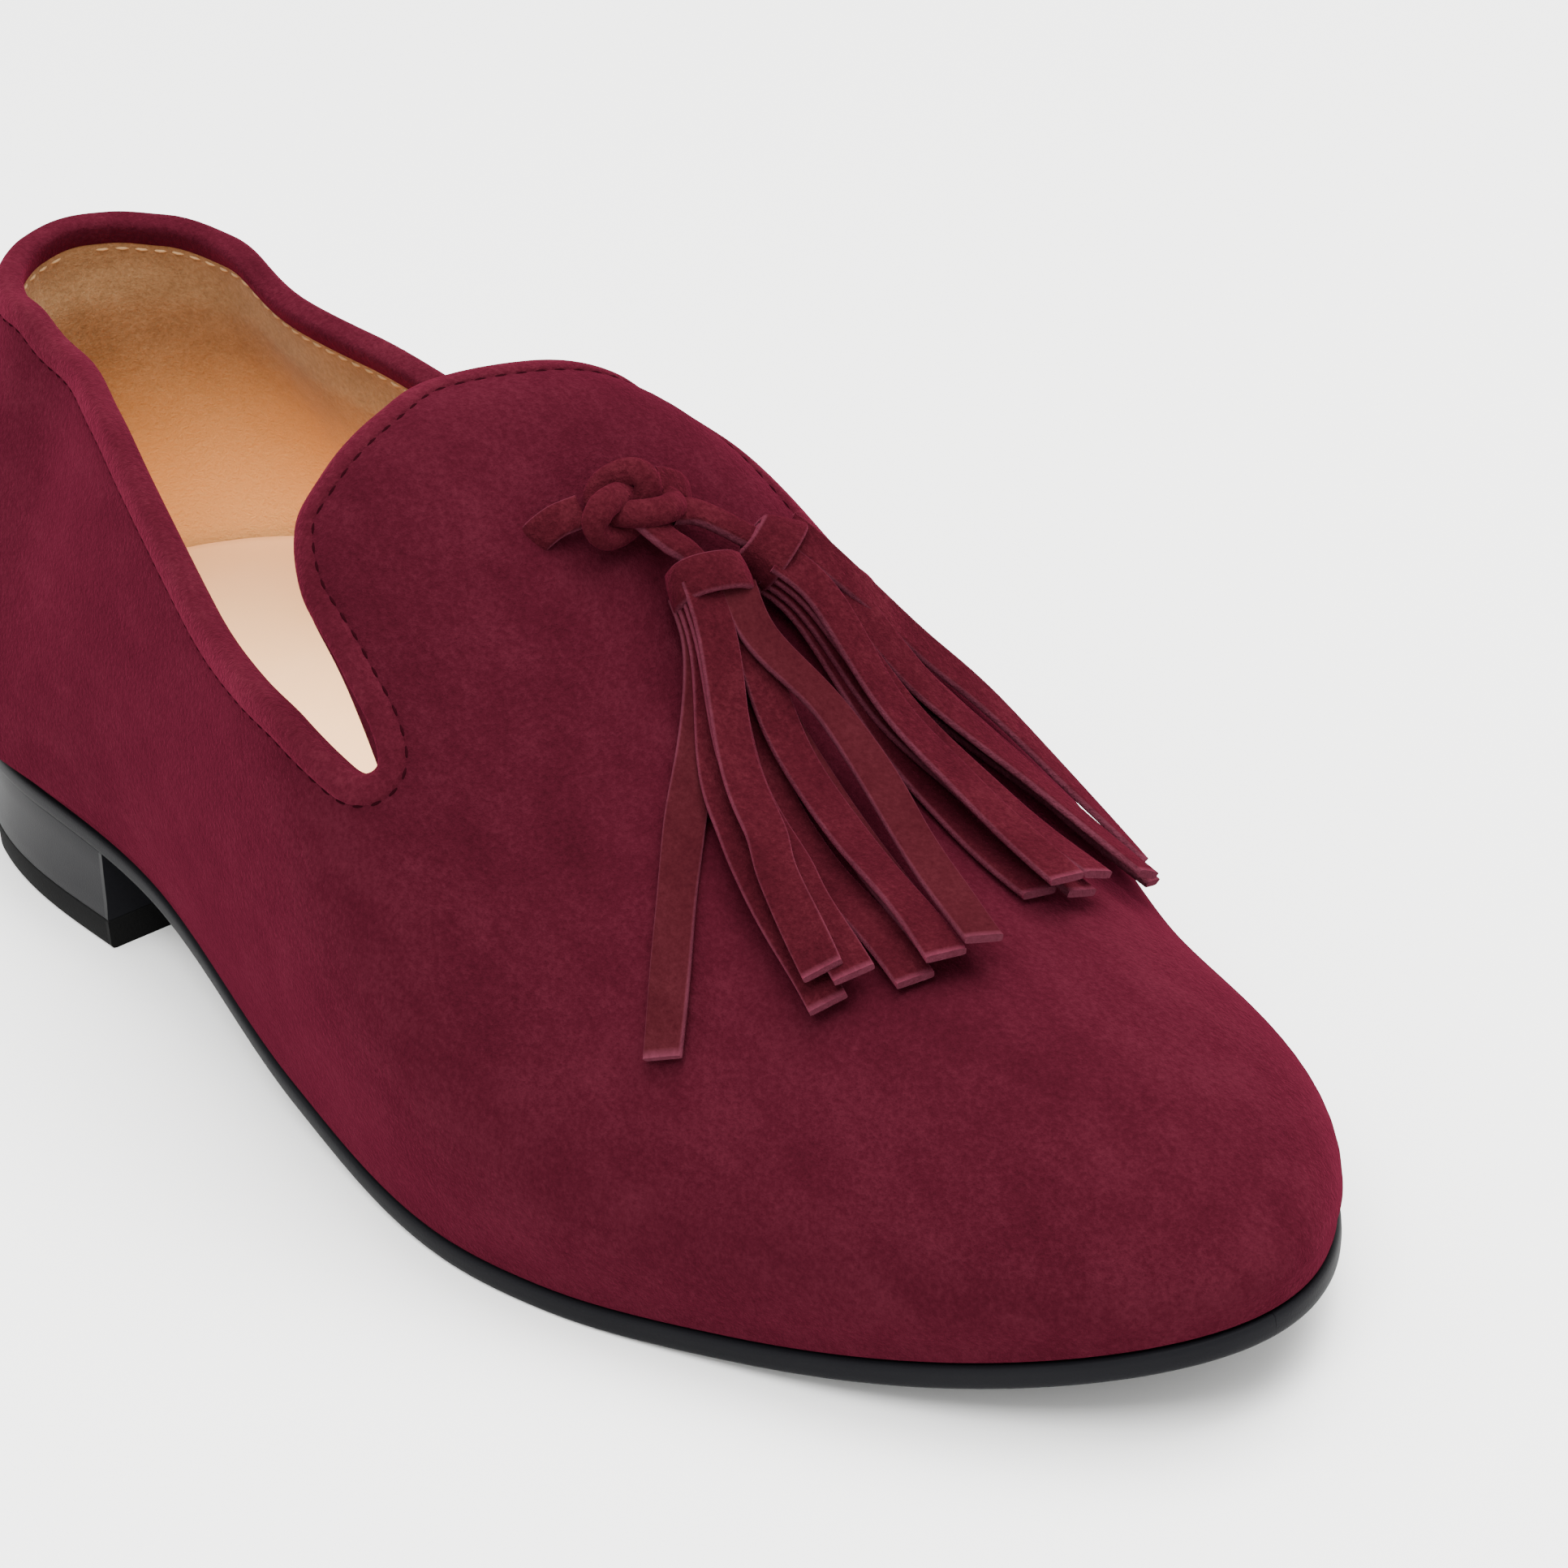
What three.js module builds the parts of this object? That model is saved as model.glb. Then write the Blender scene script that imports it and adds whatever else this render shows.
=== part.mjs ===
import * as THREE from 'three';

// All sizes are in millimetres. X runs from heel to toe, Y to the wearer's left, Z up.
// The shoe is a right one, so its outer side faces -Y.

const shoeLength = 241;
// The tables of places along the shoe are laid out on this length and stretch with shoeLength.
const patternLength = 241;
const stretch = shoeLength / patternLength;
const heelHeight = 14.8;
const outsoleThickness = 2.9;
const seatEnd = 45;
const treadStart = 156;
const treadEnd = 169;
const toeSpring = 10.5;
const heelRound = 26;
const outerToeRound = 70;
const innerToeRound = 97;
const layerGap = 0.3;
const liningGap = 0.45;
const seamGap = 0.5;

const upperThickness = 1.3;
const liningThickness = 0.8;
const stiffenerThickness = 1.0;
const marginWidth = 9;
const marginThickness = 1.2;
const boardThickness = 2.0;
const boardInset = 2.1;
const sockThickness = 1.0;
const sockInset = 4.4;
const bindingHeight = 3.4;
const bindingProud = 0.3;
const wallSteps = 11;
const rowCrowding = 1.25;

// Heights over the outsole of the bottom of the insole board and of the lining.
const boardFoot = layerGap * 2 + marginThickness;
const liningFoot = boardFoot + boardThickness + layerGap;

const breastPosition = 61;
const topLiftThickness = 4;
const heelFlare = 1.2;
const shankStart = 36;
const shankEnd = 116;
const shankWidth = 12;
const shankThickness = 0.9;
const fillerStart = 124;

const puffSpread = 40;
const puffTopRow = 7;
const counterStart = 108;
const counterTopRow = 2;
const liningSplit = 96;

const laceWidth = 4.2;
const laceThickness = 1.3;
const stripWidth = 3.7;
const stripThickness = 1.05;
const stripPitch = 4.0;
const layerPitch = 1.35;
const bundleLift = 4.9;
const restLift = 1.25;
const collarWidth = 9.4;
const collarHeight = 7.6;
const collarLength = 4.4;
const tasselSlope = 0.7;

// Half widths of the sole edge on the outer and the inner side, and where its middle lies.
const outerHalfWidth = curveThrough([[0, 27.3], [12, 30], [30, 34.2], [79, 35.1], [119, 40.4],
  [157, 42.3], [194, 34.8], [224, 31.2], [241, 29.4]]);
const innerHalfWidth = curveThrough([[0, 27.3], [12, 29.5], [30, 31.5], [79, 28.8], [119, 32.7],
  [157, 47.9], [194, 43.4], [224, 43.5], [241, 38.2]]);
const middleShift = curveThrough([[0, 0], [33, 0], [179, 2], [241, 6.2]]);

// The ridge line of the last: where it runs, how high it is, and how square the section under it is.
const ridgeStart = 23 * stretch;
const ridgeEnd = 174.5 * stretch;
const ridgeShift = curveThrough([[0, 0], [39, 0], [99, -4.1], [159, -6.2], [241, -6.2]]);
const ridgeHeight = curveThrough([[0, 104], [23, 104], [74, 79], [99, 72], [129, 75],
  [144, 60], [159, 47], [176, 39.7], [194, 35.5], [219, 29.5], [241, 20.4]]);
const squareness = curveThrough([[0, 1.25], [39, 1.05], [89, 1.94], [149, 2.6], [241, 2.35]]);
const outerBulge = curveThrough([[0, 4.5], [23, 4.8], [69, 3], [109, 1.8], [179, 2.5], [241, 1.8]]);
const innerBulge = curveThrough([[0, 4.5], [23, 4.6], [69, 3], [109, 2.5], [179, 1.2], [241, 1.8]]);

// The top line, from the back of the heel to the tip of the tongue, on both sides at once.
// angle is the place along the sole edge (180 at the back, 0 at the toe tip), rise and innerRise are
// the share of the way up to the ridge line on the outer and the inner side, and foot is the place
// on the sole edge that the wall under it starts from.
const topLineStops = [
  { angle: 180, rise: 0.495, innerRise: 0.495, foot: 180, steps: 2 },
  { angle: 170, rise: 0.495, innerRise: 0.493, foot: 170, steps: 2 },
  { angle: 160, rise: 0.498, innerRise: 0.493, foot: 160, steps: 1 },
  { angle: 150, rise: 0.509, innerRise: 0.499, foot: 151, steps: 2 },
  { angle: 140, rise: 0.527, innerRise: 0.51, foot: 141, steps: 1 },
  { angle: 131, rise: 0.533, innerRise: 0.512, foot: 132, steps: 1 },
  { angle: 122, rise: 0.518, innerRise: 0.493, foot: 123, steps: 2 },
  { angle: 113, rise: 0.493, innerRise: 0.466, foot: 114, steps: 1 },
  { angle: 105, rise: 0.472, innerRise: 0.446, foot: 105, steps: 2 },
  { angle: 92, rise: 0.432, innerRise: 0.414, foot: 92, steps: 2 },
  { angle: 84.5, rise: 0.428, innerRise: 0.416, foot: 84, steps: 2 },
  { angle: 79, rise: 0.475, innerRise: 0.472, foot: 78.5, steps: 3 },
  { angle: 76.4, rise: 0.53, innerRise: 0.53, foot: 73, steps: 3 },
  { angle: 76.9, rise: 0.558, innerRise: 0.558, foot: 68, steps: 2 },
  { angle: 79.7, rise: 0.562, innerRise: 0.562, foot: 62, steps: 2 },
  { angle: 84, rise: 0.572, innerRise: 0.572, foot: 55, steps: 2 },
  { angle: 86, rise: 0.65, innerRise: 0.65, foot: 46, steps: 3 },
  { angle: 84.2, rise: 0.755, innerRise: 0.755, foot: 34, steps: 3 },
  { angle: 81, rise: 0.9, innerRise: 0.9, foot: 17, steps: 3 },
];
const tongueTip = { angle: 78, rise: 1.0, innerRise: 1.0, foot: 0, steps: 3 };

// Places over the vamp are [x, y, lift]: where they are seen from above, and the height over the suede.
// They move along with the tip of the tongue, which is tonguePlace from the back of the heel.
const tonguePlace = 114.5;
const ornamentShift = tonguePlace * (stretch - 1);
const knotCentre = [137.4, 3.4, 3.7];
const knotWide = 1.75;
const knotDeep = 1.3;
const knotTall = 1.9;
const knotCordRadius = 0.85;
const outerLacePath = [[136.9, -7.2, 1.0], [136.7, -5.4, 1.65], [136.8, -3.6, 3.0]];
const innerLacePath = [[136.3, 10.4, 2.6], [136.7, 12.0, 1.7], [137.1, 13.8, 1.1]];

// Each tassel hangs from a lace leg. axis is the direction of its collar seen from above, in degrees,
// and fanAxis is the mean direction of its strips, which it lifts along.
// A strip has the layer it lies in, its place across the bundle, a middle and a tip.
const tasselA = {
  leg: [[141.4, 6.4, 4.3], [142.1, 6.9, 4.7], [142.8, 7.4, 4.9]],
  collar: [144.0, 8.0],
  axis: -15,
  fanAxis: -15,
  flare: 0.92,
  strips: [
    { layer: 0, place: -0.5, middle: [165.5, -9.4], tip: [182.4, -24.9] },
    { layer: 0, place: 0.5, middle: [167, 1.5], tip: [198.4, -3.7] },
    { layer: 1, place: -0.5, middle: [167, -5], tip: [194.4, -11.6] },
    { layer: 1, place: 0.5, middle: [165, 6.5], tip: [196, 0.6] },
    { layer: 2, place: -0.5, middle: [167, -2.4], tip: [195.1, -8.3] },
    { layer: 2, place: 0.5, middle: [166, 5], tip: [199.6, -1.0] },
    { layer: 3, place: -0.5, middle: [167.3, -3.3], tip: [192.8, -10.3] },
    { layer: 3, place: 0.5, middle: [161.4, 11.5], tip: [200.6, 2.6] },
  ],
};
const tasselB = {
  leg: [[139.3, 11.4, 3.2], [140.5, 13.2, 3.9], [141.8, 15.0, 4.6]],
  collar: [142.3, 15.6],
  axis: 41,
  fanAxis: 17,
  flare: 0.6,
  strips: [
    { layer: 0, place: -0.5, middle: [167, 19], tip: [191, 18] },
    { layer: 0, place: 0.5, middle: [162, 31], tip: [181, 38] },
    { layer: 1, place: -0.5, middle: [168, 21], tip: [193, 21.5] },
    { layer: 1, place: 0.5, middle: [165, 31], tip: [185.3, 35.4] },
    { layer: 2, place: -0.5, middle: [168, 22], tip: [192, 23.6] },
    { layer: 2, place: 0.5, middle: [168.6, 29.4], tip: [188.9, 31.6] },
    { layer: 3, place: -0.5, middle: [166.5, 18.7], tip: [193.9, 18] },
    { layer: 3, place: 0.5, middle: [157.2, 35.5], tip: [177.2, 40.2] },
  ],
};

function curveThrough(points) {
  const last = points.length - 1;
  const slope = (i) => (points[i + 1][1] - points[i][1]) / (points[i + 1][0] - points[i][0]);
  const tangents = points.map((point, i) => {
    if (i === 0) return slope(0);
    if (i === last) return slope(last - 1);
    const before = points[i][0] - points[i - 1][0];
    const after = points[i + 1][0] - points[i][0];
    return (slope(i - 1) * after + slope(i) * before) / (before + after);
  });
  return (x) => {
    const at = THREE.MathUtils.clamp(x / stretch, points[0][0], points[last][0]);
    let i = 0;
    while (i < last - 1 && at > points[i + 1][0]) i += 1;
    const span = points[i + 1][0] - points[i][0];
    const t = (at - points[i][0]) / span;
    const u = 1 - t;
    return u * u * (1 + 2 * t) * points[i][1] + t * t * (3 - 2 * t) * points[i + 1][1]
      + t * u * span * (u * tangents[i] - t * tangents[i + 1]);
  };
}

function soleBottom(x) {
  const fall = THREE.MathUtils.smoothstep(x, seatEnd, treadStart);
  const rise = Math.max((x - treadEnd) / (shoeLength - treadEnd), 0);
  return heelHeight * (1 - fall) + toeSpring * rise * rise;
}

function soleTop(x) {
  return soleBottom(x) + outsoleThickness;
}

function endRounding(x, toeRound) {
  const heel = THREE.MathUtils.clamp((heelRound - x) / heelRound, 0, 1);
  const toe = THREE.MathUtils.clamp((x - shoeLength + toeRound) / toeRound, 0, 1);
  return Math.sqrt((1 - heel * heel) * (1 - toe * toe));
}

// A point of the sole edge seen from above. phi is 0 at the toe tip and below 0 on the outer side.
function soleEdge(phi) {
  const x = shoeLength * (1 + Math.cos(phi)) / 2;
  const y = Math.sin(phi) < 0
    ? -outerHalfWidth(x) * endRounding(x, outerToeRound)
    : innerHalfWidth(x) * endRounding(x, innerToeRound);
  return new THREE.Vector2(x, y + middleShift(x));
}

function edgeNormal(phi) {
  const step = 1e-3;
  const along = soleEdge(phi + step).sub(soleEdge(phi - step)).normalize();
  return new THREE.Vector2(along.y, -along.x);
}

function ridgePoint(phi) {
  const x = ridgeStart + (ridgeEnd - ridgeStart) * (1 + Math.cos(phi)) / 2;
  return new THREE.Vector2(x, ridgeShift(x));
}

// The outside of the upper over the last: q is 0 on the sole edge and 1 on the ridge line.
function surfacePoint(phi, q) {
  const edge = soleEdge(phi);
  const normal = edgeNormal(phi);
  const ridge = ridgePoint(phi);
  const power = 2 / squareness(edge.x);
  const inward = Math.max(Math.cos(q * Math.PI / 2), 0) ** power;
  const upward = Math.max(Math.sin(q * Math.PI / 2), 0) ** power;
  const share = THREE.MathUtils.clamp(q / 0.6, 0, 1);
  const bulge = (Math.sin(phi) < 0 ? outerBulge(edge.x) : innerBulge(edge.x)) * 6.75 * share * (1 - share) ** 2;
  const x = ridge.x + (edge.x - ridge.x) * inward + normal.x * bulge;
  const y = ridge.y + (edge.y - ridge.y) * inward + normal.y * bulge;
  const within = THREE.MathUtils.clamp(x, 0, shoeLength);
  return new THREE.Vector3(x, y, soleTop(within) + layerGap + ridgeHeight(within) * upward);
}

// The chart is the plan of the surface before it bulges: straight lines run from ridge to sole edge.
function toChart(phi, q) {
  const edge = soleEdge(phi);
  const inward = Math.cos(q * Math.PI / 2) ** (2 / squareness(edge.x));
  return ridgePoint(phi).lerp(edge, inward);
}

function fromChart(place) {
  let middle = ridgeShift(place.x);
  if (place.x < ridgeStart) middle = ridgeShift(ridgeStart) * place.x / ridgeStart;
  if (place.x > ridgeEnd) {
    const share = (place.x - ridgeEnd) / (shoeLength - ridgeEnd);
    middle = THREE.MathUtils.lerp(ridgeShift(ridgeEnd), middleShift(shoeLength), share);
  }
  const side = place.y >= middle ? 1 : -1;
  let low = 0;
  let high = Math.PI;
  for (let i = 0; i < 40; i += 1) {
    const half = (low + high) / 2;
    const ridge = ridgePoint(side * half);
    const arm = soleEdge(side * half).sub(ridge);
    const reach = place.clone().sub(ridge);
    if (side * (arm.x * reach.y - arm.y * reach.x) > 0) low = half;
    else high = half;
  }
  const phi = side * (low + high) / 2;
  const ridge = ridgePoint(phi);
  const edge = soleEdge(phi);
  const inward = Math.min(place.distanceTo(ridge) / edge.distanceTo(ridge), 1);
  const q = Math.acos(inward ** (squareness(edge.x) / 2)) * 2 / Math.PI;
  return { phi, q };
}

function surfaceNormal(phi, q) {
  let along;
  let across;
  if (q < 0.9) {
    const low = Math.max(q - 0.01, 0.0005);
    along = surfacePoint(phi + 0.01, q).sub(surfacePoint(phi - 0.01, q));
    across = surfacePoint(phi, q + 0.01).sub(surfacePoint(phi, low));
  } else {
    const at = toChart(phi, q);
    const look = (dx, dy) => {
      const place = fromChart(new THREE.Vector2(at.x + dx, at.y + dy));
      return surfacePoint(place.phi, place.q);
    };
    along = look(1, 0).sub(look(-1, 0));
    across = look(0, 1).sub(look(0, -1));
  }
  return along.cross(across).normalize();
}

const allTopLine = buildTopLine();

function buildTopLine() {
  const named = (stop, side, steps) => ({
    place: toChart(side * stop.angle * Math.PI / 180, side < 0 ? stop.rise : stop.innerRise),
    foot: side * stop.foot,
    steps,
  });
  const outer = topLineStops.map((stop) => named(stop, -1, stop.steps));
  const inner = topLineStops.map((stop, i) => named(stop, 1, topLineStops[Math.max(i - 1, 0)].steps));
  return [...outer, named(tongueTip, 1, tongueTip.steps), ...inner.slice(1).reverse()];
}

function catmullRom(a, b, c, d, t) {
  return b + t * (c - a + t * (2 * a - 5 * b + 4 * c - d + t * (3 * (b - c) + d - a))) / 2;
}

// The top line as a closed smooth curve: u counts its named points.
function topLineAt(u) {
  const count = allTopLine.length;
  const index = Math.floor(u);
  const t = u - index;
  const point = (k) => allTopLine[((index + k) % count + count) % count];
  const turns = (k) => 360 * Math.floor((index + k) / count);
  const foot = (k) => point(k).foot + turns(k);
  const [a, b, c, d] = [point(-1), point(0), point(1), point(2)];
  return {
    place: new THREE.Vector2(
      catmullRom(a.place.x, b.place.x, c.place.x, d.place.x, t),
      catmullRom(a.place.y, b.place.y, c.place.y, d.place.y, t),
    ),
    foot: catmullRom(foot(-1), foot(0), foot(1), foot(2), t) * Math.PI / 180,
  };
}

function onSurface(place) {
  const { phi, q } = fromChart(place);
  return surfacePoint(phi, q);
}

// One column per step along the top line. stepOut moves from the top line down the outside of the wall.
function makeColumn(u) {
  const { place, foot } = topLineAt(u);
  const reach = 0.02;
  const along = onSurface(topLineAt(u + reach).place).sub(onSurface(topLineAt(u - reach).place));
  const here = fromChart(place);
  const normal = surfaceNormal(here.phi, here.q);
  const down = along.normalize().cross(normal).normalize();
  const small = 0.25;
  const gradient = (dx, dy) => onSurface(new THREE.Vector2(place.x + dx, place.y + dy))
    .sub(onSurface(new THREE.Vector2(place.x - dx, place.y - dy))).divideScalar(2 * small);
  const byX = gradient(small, 0);
  const byY = gradient(0, small);
  const stepOut = (distance) => {
    const [xx, xy, yy] = [byX.dot(byX), byX.dot(byY), byY.dot(byY)];
    const [rx, ry] = [byX.dot(down) * distance, byY.dot(down) * distance];
    const area = xx * yy - xy * xy;
    return new THREE.Vector2(place.x + (rx * yy - ry * xy) / area, place.y + (ry * xx - rx * xy) / area);
  };
  return { u, place, foot, top: surfacePoint(here.phi, here.q), normal, down, stepOut };
}

// The share of the way up where the wall stands this high over the sole edge.
function riseForHeight(phi, height) {
  const edge = soleEdge(phi);
  const share = height / ridgeHeight(edge.x);
  return Math.asin(share ** (squareness(edge.x) / 2)) * 2 / Math.PI;
}

// Evenly spaced places from just under the binding down to the level of the insole board.
function wallRows(column) {
  const start = column.stepOut(bindingHeight + seamGap);
  const end = toChart(column.foot, riseForHeight(column.foot, liningFoot - layerGap));
  const samples = 48;
  const placeAt = (share) => start.clone().lerp(end, share);
  const walk = [{ share: 0, length: 0, point: onSurface(start) }];
  for (let i = 1; i <= samples; i += 1) {
    const share = 1 - (1 - i / samples) ** 3;
    const point = onSurface(placeAt(share));
    walk.push({ share, point, length: walk[i - 1].length + point.distanceTo(walk[i - 1].point) });
  }
  const total = walk[samples].length;
  const rows = [];
  for (let k = 0; k <= wallSteps; k += 1) {
    const want = total * (1 - (1 - k / wallSteps) ** rowCrowding);
    let i = 1;
    while (i < samples && walk[i].length < want) i += 1;
    const [before, after] = [walk[i - 1], walk[i]];
    const part = (want - before.length) / (after.length - before.length);
    const { phi, q } = fromChart(placeAt(THREE.MathUtils.lerp(before.share, after.share, part)));
    rows.push({ point: surfacePoint(phi, q), normal: surfaceNormal(phi, q) });
  }
  const level = edgeNormal(column.foot);
  rows[wallSteps].normal = new THREE.Vector3(level.x, level.y, 0);
  return rows;
}

function inside(node, depth) {
  return node.point.clone().addScaledVector(node.normal, -depth);
}

// A closed body from rings of matching points. Wrapped bodies join the last ring to the first.
function bodyFromRings(name, rings, wrapped, look) {
  const size = rings[0].length;
  const positions = rings.flat().flatMap((point) => [point.x, point.y, point.z]);
  const faces = [];
  const joints = wrapped ? rings.length : rings.length - 1;
  for (let i = 0; i < joints; i += 1) {
    const next = (i + 1) % rings.length;
    for (let j = 0; j < size; j += 1) {
      const k = (j + 1) % size;
      faces.push([i * size + j, next * size + j, next * size + k]);
      faces.push([i * size + j, next * size + k, i * size + k]);
    }
  }
  if (!wrapped) {
    for (const [ring, flip] of [[0, false], [rings.length - 1, true]]) {
      const start = ring * size;
      for (let j = 0, k = size - 1; j + 1 < k; j += 1, k -= 1) {
        const cap = [[start + j, start + j + 1, start + k]];
        if (j + 2 < k) cap.push([start + j + 1, start + k - 1, start + k]);
        for (const [a, b, c] of cap) faces.push(flip ? [a, c, b] : [a, b, c]);
      }
    }
  }
  const corner = (index) => new THREE.Vector3(...positions.slice(index * 3, index * 3 + 3));
  let volume = 0;
  for (const [a, b, c] of faces) volume += corner(a).dot(corner(b).cross(corner(c)));
  const outward = volume > 0 ? faces : faces.map(([a, b, c]) => [a, c, b]);
  const geometry = new THREE.BufferGeometry();
  geometry.setAttribute('position', new THREE.Float32BufferAttribute(positions, 3));
  geometry.setIndex(outward.flat());
  geometry.computeVertexNormals();
  const mesh = new THREE.Mesh(geometry, new THREE.MeshStandardMaterial(look));
  mesh.name = name;
  return mesh;
}

function wallShell(name, columns, firstRow, lastRow, depthAt, thickness, look) {
  const rings = columns.map((column) => {
    const outer = [];
    const inner = [];
    for (let k = firstRow; k <= lastRow; k += 1) {
      const depth = depthAt(column, k);
      outer.push(inside(column.rows[k], depth));
      inner.unshift(inside(column.rows[k], depth + thickness));
    }
    return [...outer, ...inner];
  });
  return bodyFromRings(name, rings, false, look);
}

function insetEdge(phi, inset) {
  return soleEdge(phi).addScaledVector(edgeNormal(phi), -inset);
}

// A flat-lying layer that follows the sole: each level has an inset from the sole edge and a height.
function soleLayer(name, levels, outerFrom, innerFrom, to, steps, look) {
  const rings = [];
  for (let i = 0; i <= steps; i += 1) {
    const share = i / steps;
    const outerPhi = -THREE.MathUtils.lerp(outerFrom, to, share);
    const innerPhi = THREE.MathUtils.lerp(innerFrom, to, share);
    const at = (phi, level) => {
      const place = insetEdge(phi, level.inset);
      return new THREE.Vector3(place.x, place.y, level.height(place.x));
    };
    const outer = levels.map((level) => at(outerPhi, level));
    const inner = levels.map((level) => at(innerPhi, level)).reverse();
    rings.push([...outer, ...inner]);
  }
  return bodyFromRings(name, rings, false, look);
}

function edgeAngleAt(x) {
  return Math.acos(2 * x / shoeLength - 1);
}

// A body swept along a path: each stop has a centre, an across direction, an up direction and a section.
function sweep(name, stops, wrapped, look) {
  const rings = stops.map(({ centre, across, up, section }) => section.map(([a, b]) => centre.clone()
    .addScaledVector(across, a).addScaledVector(up, b)));
  return bodyFromRings(name, rings, wrapped, look);
}

function ovalSection(width, height, count) {
  const section = [];
  for (let i = 0; i < count; i += 1) {
    const turn = 2 * Math.PI * i / count;
    section.push([Math.cos(turn) * width / 2, Math.sin(turn) * height / 2]);
  }
  return section;
}

function flatSection(width, height) {
  return [[-width / 2, -height / 2], [width / 2, -height / 2], [width / 2, height / 2],
    [-width / 2, height / 2]];
}

// A place over the vamp: plan position and how high it floats over the suede.
function overVamp(x, y, lift) {
  const { phi, q } = fromChart(new THREE.Vector2(x + ornamentShift, y));
  const normal = surfaceNormal(phi, q);
  return { point: surfacePoint(phi, q).addScaledVector(normal, lift), normal };
}

// Evenly spaced stops along a smooth path over the vamp, with a section that may change on the way.
function vampPath(places, count, sectionAt) {
  const path = new THREE.CatmullRomCurve3(places.map(([x, y, lift]) => new THREE.Vector3(x, y, lift)));
  const spots = path.getSpacedPoints(count).map((spot) => overVamp(spot.x, spot.y, spot.z));
  return spots.map((spot, i) => {
    const before = spots[Math.max(i - 1, 0)].point;
    const after = spots[Math.min(i + 1, count)].point;
    const along = after.clone().sub(before).normalize();
    const across = along.clone().cross(spot.normal).normalize();
    const up = across.clone().cross(along).normalize();
    return { centre: spot.point, across, up, section: sectionAt(i / count) };
  });
}

// ---- the pieces ----

const suede = { color: 0x66182c, roughness: 0.95, metalness: 0 };
const strapSuede = { color: 0x6d1c33, roughness: 0.95, metalness: 0 };
const tanSuede = { color: 0xa9764a, roughness: 0.95, metalness: 0 };
const paleLeather = { color: 0xe6c4a2, roughness: 0.6, metalness: 0 };
const blackEdge = { color: 0x17171a, roughness: 0.45, metalness: 0 };
const blackRubber = { color: 0x101012, roughness: 0.7, metalness: 0 };
const boardBrown = { color: 0x9a7b58, roughness: 0.9, metalness: 0 };
const cork = { color: 0xb48a5a, roughness: 0.95, metalness: 0 };
const steel = { color: 0x8f9296, roughness: 0.35, metalness: 1 };
const stiffener = { color: 0xcbbfa8, roughness: 0.85, metalness: 0 };

function makeColumns() {
  const columns = [];
  allTopLine.forEach((point, i) => {
    for (let step = 0; step < point.steps; step += 1) columns.push(makeColumn(i + step / point.steps));
  });
  for (const column of columns) {
    column.rows = wallRows(column);
    column.down = column.rows[0].point.clone().sub(column.top).divideScalar(bindingHeight + seamGap);
    column.angle = Math.abs(Math.atan2(Math.sin(column.foot), Math.cos(column.foot))) * 180 / Math.PI;
  }
  return columns;
}

function buildUpper(columns) {
  const rings = columns.map((column) => {
    const edge = soleEdge(column.foot);
    const base = soleTop(edge.x) + layerGap;
    const level = (inset, height) => {
      const place = insetEdge(column.foot, inset);
      return new THREE.Vector3(place.x, place.y, soleTop(place.x) + layerGap + height);
    };
    return [
      ...column.rows.map((node) => inside(node, 0)),
      new THREE.Vector3(edge.x, edge.y, base),
      level(marginWidth, 0),
      level(marginWidth, marginThickness),
      level(upperThickness + 0.2, marginThickness),
      ...column.rows.map((node) => inside(node, upperThickness)).reverse(),
    ];
  });
  return bodyFromRings('upper', rings, true, suede);
}

// The folded strip that closes the top edge over the upper and the lining.
function buildBinding(columns) {
  const depth = upperThickness + liningGap + liningThickness + layerGap;
  const profile = [
    [bindingHeight, bindingProud],
    [bindingHeight * 0.45, bindingProud + 0.15],
    [bindingHeight * 0.12, -0.15 * depth],
    [0, -0.5 * depth],
    [bindingHeight * 0.12, -0.85 * depth],
    [bindingHeight * 0.45, -depth - 0.15],
    [bindingHeight - 0.3, -depth],
  ];
  const rings = columns.map((column) => profile.map(([fall, height]) => column.top.clone()
    .addScaledVector(column.down, fall).addScaledVector(column.rows[0].normal, height)));
  return bodyFromRings('topline_binding', rings, true, suede);
}

// A column a small step from one column towards the next, on the same flat faces.
function columnBetween(from, to, share) {
  return {
    ...from,
    rows: from.rows.map((node, k) => ({
      point: node.point.clone().lerp(to.rows[k].point, share),
      normal: node.normal.clone().lerp(to.rows[k].normal, share),
    })),
  };
}

function underCounter(column, k) {
  return column.angle >= counterStart && k >= counterTopRow;
}

function underPuff(column, k) {
  return column.angle <= puffSpread && k >= puffTopRow;
}

function liningDepth(column, k) {
  const stiffened = underCounter(column, k) || underPuff(column, k);
  return upperThickness + liningGap + (stiffened ? stiffenerThickness + layerGap : 0);
}

// The columns from one index to another, counting on past the end of the list.
function columnRun(columns, from, to) {
  const run = [];
  for (let i = from; i <= to; i += 1) run.push(columns[(i + columns.length) % columns.length]);
  return run;
}

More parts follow.
